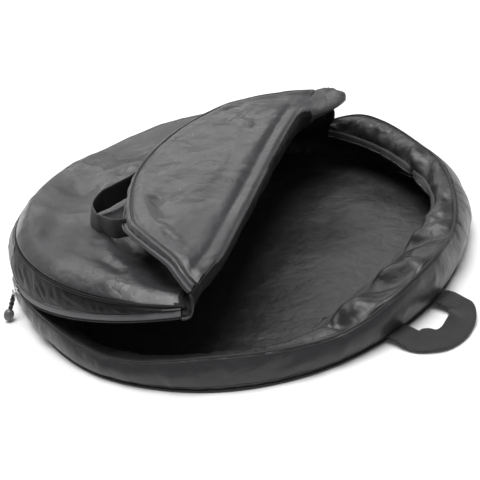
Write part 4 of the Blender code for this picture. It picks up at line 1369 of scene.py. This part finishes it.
def make_flap_edge():
    a = np.linspace(FLAP_FROM + 0.004, FLAP_TO - 0.003, 260)
    e, h, drop = flap_edge(a), flap_out(a), flap_drop(a)
    down = np.array([0, 0, -1.0])
    line = e + h * 0.0004 + down * 0.0022
    put(tube("flap_seam", line, 0.0026, [MAT["pipe"]], 10, up=(0, 0, 1), flat=0.55),
        "lid_flap", "flap_seam_piping")
    # the side band: up out of the seam, over, and down to the tape
    prof = [(0.0014, -0.0030, 0), (0.0028, -0.0004, 0), (0.0050, 0.0004, 0),
            (0.0074, -0.0010, 0), (0.0087, -0.0030, 0.10), (0.0094, -0.0020, 0.40),
            (0.0094, -0.0012, 0.70), (0.0090, -0.0006, 1.0)]
    rows = []
    for o, z, k in prof:
        rows.append(e + h * o + down[None] * (-z + drop * k)[:, None])
    p = np.array(rows)
    g = np.linspace(0, 1, 22)
    idx = g * (len(rows) - 1)
    lo = np.clip(idx.astype(int), 0, len(rows) - 2)
    p = p[lo] + (p[lo + 1] - p[lo]) * (idx - lo)[:, None, None]
    p[1:-1] = (p[:-2] + 2 * p[1:-1] + p[2:]) / 4
    arc = np.cumsum(np.concatenate([[0], np.linalg.norm(np.diff(e, axis=0), axis=1)]))
    q1 = np.stack(np.broadcast_arrays(arc[None] / 0.034, g[:, None] * 1.2, 0.3), -1)
    q2 = np.stack(np.broadcast_arrays(arc[None] / 0.013, g[:, None] * 1.6, 6.3), -1)
    amp = step(0.1, 0.4, g)[:, None] * step(0.0, 0.03, drop)[None]
    wob = 0.0042 * perlin(q1, 61) * amp + 0.0014 * perlin(q2, 62) * step(0.0, 0.3, g)[:, None]
    wob = wob * step(0.0, 0.02, arc[-1] - arc)[None] * step(0.0, 0.02, arc)[None]
    p = p + h[None] * wob[..., None]
    # the band's back is the near-black skirt nylon: painted shade
    band = cloth("flap_side_band_cloth", p, 0.0020, [MAT["lid"], MAT["skirt_painted_shade"]])
    tape, line2 = [], None
    foot = p[-1]
    for w, dz in ((-0.0026, 0.0022), (-0.0008, 0.0004), (0.0014, -0.0008), (0.0034, -0.0014),
                  (0.0052, -0.0017)):
        tape.append(foot + h * (w + 0.0008) + np.array([0, 0, dz + 0.0008]))
    tape = np.array(tape)
    tp = cloth("flap_zip_tape", tape, 0.0011, [MAT["tape"]])
    coil = teeth("flap_zip_teeth", tape[-1] + h * 0.0012, h, [MAT["coil"]])
    pieces = ((band, "flap_side_band"), (tp, "zip_tape_flap"), (coil, "zip_coil_flap"))
    for ob, node in pieces:
        put(ob, "lid_flap", node)
        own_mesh(ob)


# ==================================================================== handles
def strap_box_stitch(name, centre, along, out, body, w=0.024, l=0.010):
    """The sewn box where a webbing end is tacked down."""
    up = np.cross(along, out)
    up = up * np.sign(up[2])
    corners = [(-w / 2, -l / 2), (w / 2, -l / 2), (w / 2, l / 2), (-w / 2, l / 2), (-w / 2, -l / 2),
               (w / 2, l / 2)]
    line = np.array([centre + along * x + out * y + up * 0.0014 for x, y in corners])
    n = np.broadcast_to(up, line.shape)
    put(stitches(name, line, np.array(n), [MAT["thread"]], pitch=0.0030, long=0.0022),
        body, None)


def polar1(r, deg, z):
    return polar(r, np.array(float(deg)), np.array(float(z)))


def make_base_handle():
    a, b = polar1(0.3965, 326.8, 0.012), polar1(0.3965, 342.6, 0.012)
    along = unit(b - a)
    out = np.array([along[1], -along[0], 0])
    up = np.array([0, 0, 1.0])
    m, span = (a + b) / 2, np.linalg.norm(b - a)
    for name, node, end in (("base_handle_end_front", "base_handle_tab_front", a),
                            ("base_handle_end_rear", "base_handle_tab_rear", b)):
        path = [(*(end - out * 0.0165 - up * 0.0030), *along), (*(end - out * 0.010 - up * 0.0010), *along),
                (*(end - out * 0.0004), *along)]
        ob = strap(name, path, [MAT["web"]], n=10)
        put(ob, "base", node)
        strap_box_stitch(name + "_stitch", end - out * 0.0075, along, out, "base", l=0.006)

    def at(s, o, z):
        return m + along * (s * span) + out * o + up * (z - 0.012)
    rows = [(at(-0.500, 0.0004, 0.012), along),
            (at(-0.505, 0.014, 0.0095), along + up * 0.1),
            (at(-0.49, 0.028, 0.0105), along * 0.6 - out * 0.75 + up * 0.28),
            (at(-0.40, 0.041, 0.0115), along * 0.35 - out * 0.87 + up * 0.32),
            (at(-0.27, 0.051, 0.0085), -out + up * 0.25),
            (at(-0.10, 0.054, 0.0075), -along * 0.18 - out + up * 0.16),
            (at(0.05, 0.053, 0.0105), -along * 0.4 - out * 0.9 + up * 0.25),
            (at(0.20, 0.050, 0.0145), -along * 0.75 - out * 0.55 + up * 0.38),
            (at(0.36, 0.038, 0.0125), -along - out * 0.1 + up * 0.2),
            (at(0.47, 0.024, 0.0085), -along - up * 0.1),
            (at(0.505, 0.012, 0.0095), -along),
            (at(0.500, 0.0004, 0.012), -along)]
    path = [(*p, *unit(w)) for p, w in rows]
    put(strap("base_handle_loop", path, [MAT["web"]], n=130), "base_handle", "base_handle_strap")


def make_lid_handle():
    p = np.array([-0.09706, -0.20820, 0.17612])
    q = np.array([-0.14843, -0.08391, 0.15817])
    along = unit(q - p)
    out = unit(np.array([-along[1], along[0], 0]))
    if out[0] > 0:
        out = -out
    up = np.array([0, 0, 1.0])
    m, span = (p + q) / 2, np.linalg.norm(q - p)
    for name, node, rows in (
            ("lid_handle_end_front", "lid_handle_tab_front",
             ((-0.655, -0.0360, -0.0130, -0.40, 0.86), (-0.630, -0.0285, -0.0140, -0.40, 0.86),
              (-0.603, -0.0208, -0.0149, -0.40, 0.86))),
            ("lid_handle_end_rear", "lid_handle_tab_rear",
             ((0.760, -0.0225, 0.001, -0.05, 0.95), (0.710, -0.0150, -0.001, -0.05, 0.95),
              (0.663, -0.0076, -0.0029, -0.05, 0.95)))):
        path = []
        for s, o, dz, wa, wu in rows:
            c = m + along * (s * span) + out * o + up * dz
            path.append((*c, *unit(along * wa - out * 0.22 + up * wu)))
        put(strap(name, path, [MAT["web_lid_painted_shade"]], n=14), "lid_flap", node)

    def at(s, o, dz):
        return m + along * (s * span) + out * o + up * dz

    def lean(al, ou, u):
        return along * al + out * ou + up * u
    rows = [(at(-0.600, -0.0200, -0.0150), lean(-0.40, -0.22, 0.86)),
            (at(-0.565, -0.0100, -0.0165), lean(-0.40, -0.22, 0.86)),
            (at(-0.530, 0.0000, -0.0178), lean(-0.42, -0.22, 0.85)),
            (at(-0.480, 0.0095, -0.0190), lean(-0.43, -0.22, 0.84)),
            (at(-0.39, 0.0190, -0.021), lean(-0.41, -0.18, 0.86)),
            (at(-0.26, 0.0300, -0.022), lean(-0.45, -0.16, 0.84)),
            (at(-0.14, 0.0410, -0.021), lean(-0.46, -0.21, 0.82)),
            (at(0.04, 0.0510, -0.018), lean(-0.36, -0.27, 0.87)),
            (at(0.18, 0.0540, -0.016), lean(-0.24, -0.30, 0.90)),
            (at(0.29, 0.0510, -0.014), lean(-0.28, -0.25, 0.89)),
            (at(0.38, 0.0430, -0.012), lean(-0.22, -0.13, 0.95)),
            (at(0.44, 0.0330, -0.010), lean(-0.06, -0.11, 0.98)),
            (at(0.500, 0.0200, -0.007), lean(-0.10, -0.15, 0.96)),
            (at(0.550, 0.0100, -0.005), lean(-0.05, -0.20, 0.96)),
            (at(0.610, 0.0015, -0.004), lean(-0.05, -0.20, 0.96)),
            (at(0.660, -0.0070, -0.003), lean(-0.05, -0.20, 0.96))]
    path = [(*c, *unit(w)) for c, w in rows]
    put(strap("lid_handle_loop", path, [MAT["web_lid_painted_shade"]], n=130), "lid_handle", "lid_handle_strap")


# ================================================================= zip slider
def box_mesh(c, ax, ay, az, hx, hy, hz, bevel=0.0):
    """Eight corners of a block about a centre, along three directions."""
    v = [c + ax * hx * i + ay * hy * j + az * hz * k
         for k in (-1, 1) for j in (-1, 1) for i in (-1, 1)]
    f = [(0, 2, 3, 1), (4, 5, 7, 6), (0, 1, 5, 4), (2, 6, 7, 3), (0, 4, 6, 2), (1, 3, 7, 5)]
    return v, f


def bevelled(ob, width, segments=3):
    m = ob.modifiers.new("edges", "BEVEL")
    m.width = width
    m.segments = segments
    m.limit_method = "ANGLE"
    m.angle_limit = math.radians(35)
    return ob


def make_slider():
    c = zip_edge(np.array([218.5]))[0]
    radial = unit(c - ZIP_C)
    along = unit(np.cross(ZIP_N, radial))
    up = ZIP_N
    # the body: inner and outer plates, tapered to the closing end, with
    # side flanges below and a rib between them
    outline = []
    for s, w in ((-0.0068, 0.0036), (-0.0050, 0.0046), (-0.0010, 0.0054), (0.0040, 0.0056),
                 (0.0062, 0.0048), (0.0068, 0.0036)):
        outline.append((s, w))
    verts, faces = [], []
    for side in (-1, 1):
        for off in (0.0030, 0.0044):
            base = len(verts)
            loop = [(s, w * 0.96) for s, w in outline] + [(s, -w * 0.86) for s, w in outline[::-1]]
            for s, w in loop:
                verts.append(c + along * s + up * w + radial * side * off)
        n = len(outline) * 2
        b0, b1 = len(verts) - 2 * n, len(verts) - n
        for j in range(n):
            k = (j + 1) % n
            faces.append((b0 + j, b0 + k, b1 + k, b1 + j) if side > 0 else (b0 + k, b0 + j, b1 + j, b1 + k))
        faces.append(tuple(b1 + j for j in range(n)) if side > 0 else tuple(b1 + j for j in range(n))[::-1])
        faces.append(tuple(b0 + j for j in range(n))[::-1] if side > 0 else tuple(b0 + j for j in range(n)))
    ob = build("zip_slider_plates", np.array(verts), faces, np.zeros((len(verts), 2)), [MAT["metal"]], flat=True)
    bevelled(ob, 0.0005)
    put(ob, "zip_slider", "slider_body")
    v, f = box_mesh(c + along * -0.0052 - up * 0.0008, radial, up, along, 0.0034, 0.0018, 0.0012)
    ob = build("zip_slider_bridge", np.array(v), f, np.zeros((8, 2)), [MAT["metal"]], flat=True)
    bevelled(ob, 0.0004)
    put(ob, "zip_slider", None)
    for k, s in enumerate((-1, 1)):
        v, f = box_mesh(c - up * 0.0046 + radial * s * 0.0026, radial, up, along, 0.0018, 0.0007, 0.0058)
        ob = build("zip_slider_flange_%d" % (k + 1), np.array(v), f, np.zeros((8, 2)), [MAT["metal"]], flat=True)
        bevelled(ob, 0.0004)
        put(ob, "zip_slider", None)
    eye = c + radial * (0.0028 + 0.0015 + 0.0034) + up * -0.0006
    t = np.linspace(0.15 * math.pi, 1.85 * math.pi, 22)
    crown = [eye - radial * np.cos(x) * -0.0034 * -1 + along * 0 + up * np.sin(x) * 0.0036 for x in t]
    ob = tube("zip_slider_crown", np.array(crown), 0.0010, [MAT["metal"]], 8)
    put(ob, "zip_slider", None)
    return eye


def make_pull(eye):
    way = unit(BEAD_AT - eye)
    flat = unit(np.array([way[0], way[1], 0]))
    side = np.array([flat[1], -flat[0], 0])
    thick = unit(np.cross(way, side))
    t = np.arange(36) * 2 * math.pi / 36
    ring = eye + side * (0.0038 * np.cos(t))[:, None] + way * (0.0050 + 0.0054 * np.sin(t))[:, None]
    put(tube("pull_ring_wire", ring, 0.0008, [MAT["metal"]], 8, closed=True), "zip_pull", "pull_ring")
    low = eye + way * 0.0098
    top = BEAD_AT - way * 0.0088
    n = 90
    s = np.linspace(0, 1, n)
    reach = np.linalg.norm(top - low)
    turns = 1.6
    names = []
    for k in (0, 1):
        ph = 2 * math.pi * turns * s + math.pi * k
        r = 0.00235 * np.sin(np.pi * np.clip(s * 0.90 + 0.08, 0, 1)) ** 0.25
        q = low + way * (s * reach)[:, None] + side * (np.cos(ph) * r)[:, None] + thick * (np.sin(ph) * r)[:, None]
        names.append(q)
    loop = []
    head = low - way * 0.0030
    for x in np.linspace(0, math.pi, 15):
        loop.append(head + way * 0.0030 * (1 - math.sin(x)) + thick * 0.0022 * math.cos(x))
    top_arc = np.array(loop)
    strands = np.concatenate([names[0][::-1][:-6], top_arc[1:-1] if np.linalg.norm(
        names[0][6] - top_arc[0]) < np.linalg.norm(names[0][6] - top_arc[-1]) else top_arc[::-1][1:-1],
        names[1][6:]])
    path = spline(strands[::4], 240)
    for _ in range(40):
        path[1:-1] = (path[:-2] + 2 * path[1:-1] + path[2:]) / 4
    cord = put(tube("pull_cord_twist", path, 0.0021, [MAT["pull"]], 12), "zip_pull", "pull_cord")
    # the bead: an oval with a soft shoulder and a flat-topped neck
    rows, cols = 26, 36
    th = np.linspace(0.02, math.pi - 0.02, rows)
    ph = np.arange(cols) * 2 * math.pi / cols
    R = 0.0088
    prof_r = R * np.sin(th) ** 0.86
    prof_z = -np.cos(th) * R * 1.14
    prof_r = np.where(th < 0.35, np.maximum(prof_r, 0.0021), prof_r)
    v = (BEAD_AT + way * prof_z[:, None, None]
         + side * (prof_r[:, None] * np.cos(ph)[None])[..., None]
         + thick * (prof_r[:, None] * np.sin(ph)[None] * 0.94)[..., None]).reshape(-1, 3)
    faces = grid_faces(rows, cols, closed=True)
    faces.append(tuple(range(cols))[::-1])
    faces.append(tuple((rows - 1) * cols + j for j in range(cols)))
    ob = build("pull_bead_oval", v, faces, np.zeros((len(v), 2)), [MAT["bead"]])
    fix_out(ob)
    put(ob, "zip_pull", "pull_bead")


make_floor_panel()
make_gusset()
make_zip_strip()
make_rear_band()
make_lid()
make_front_band()
make_fold_and_flap()
make_flap_edge()
make_base_handle()
make_lid_handle()
make_pull(make_slider())
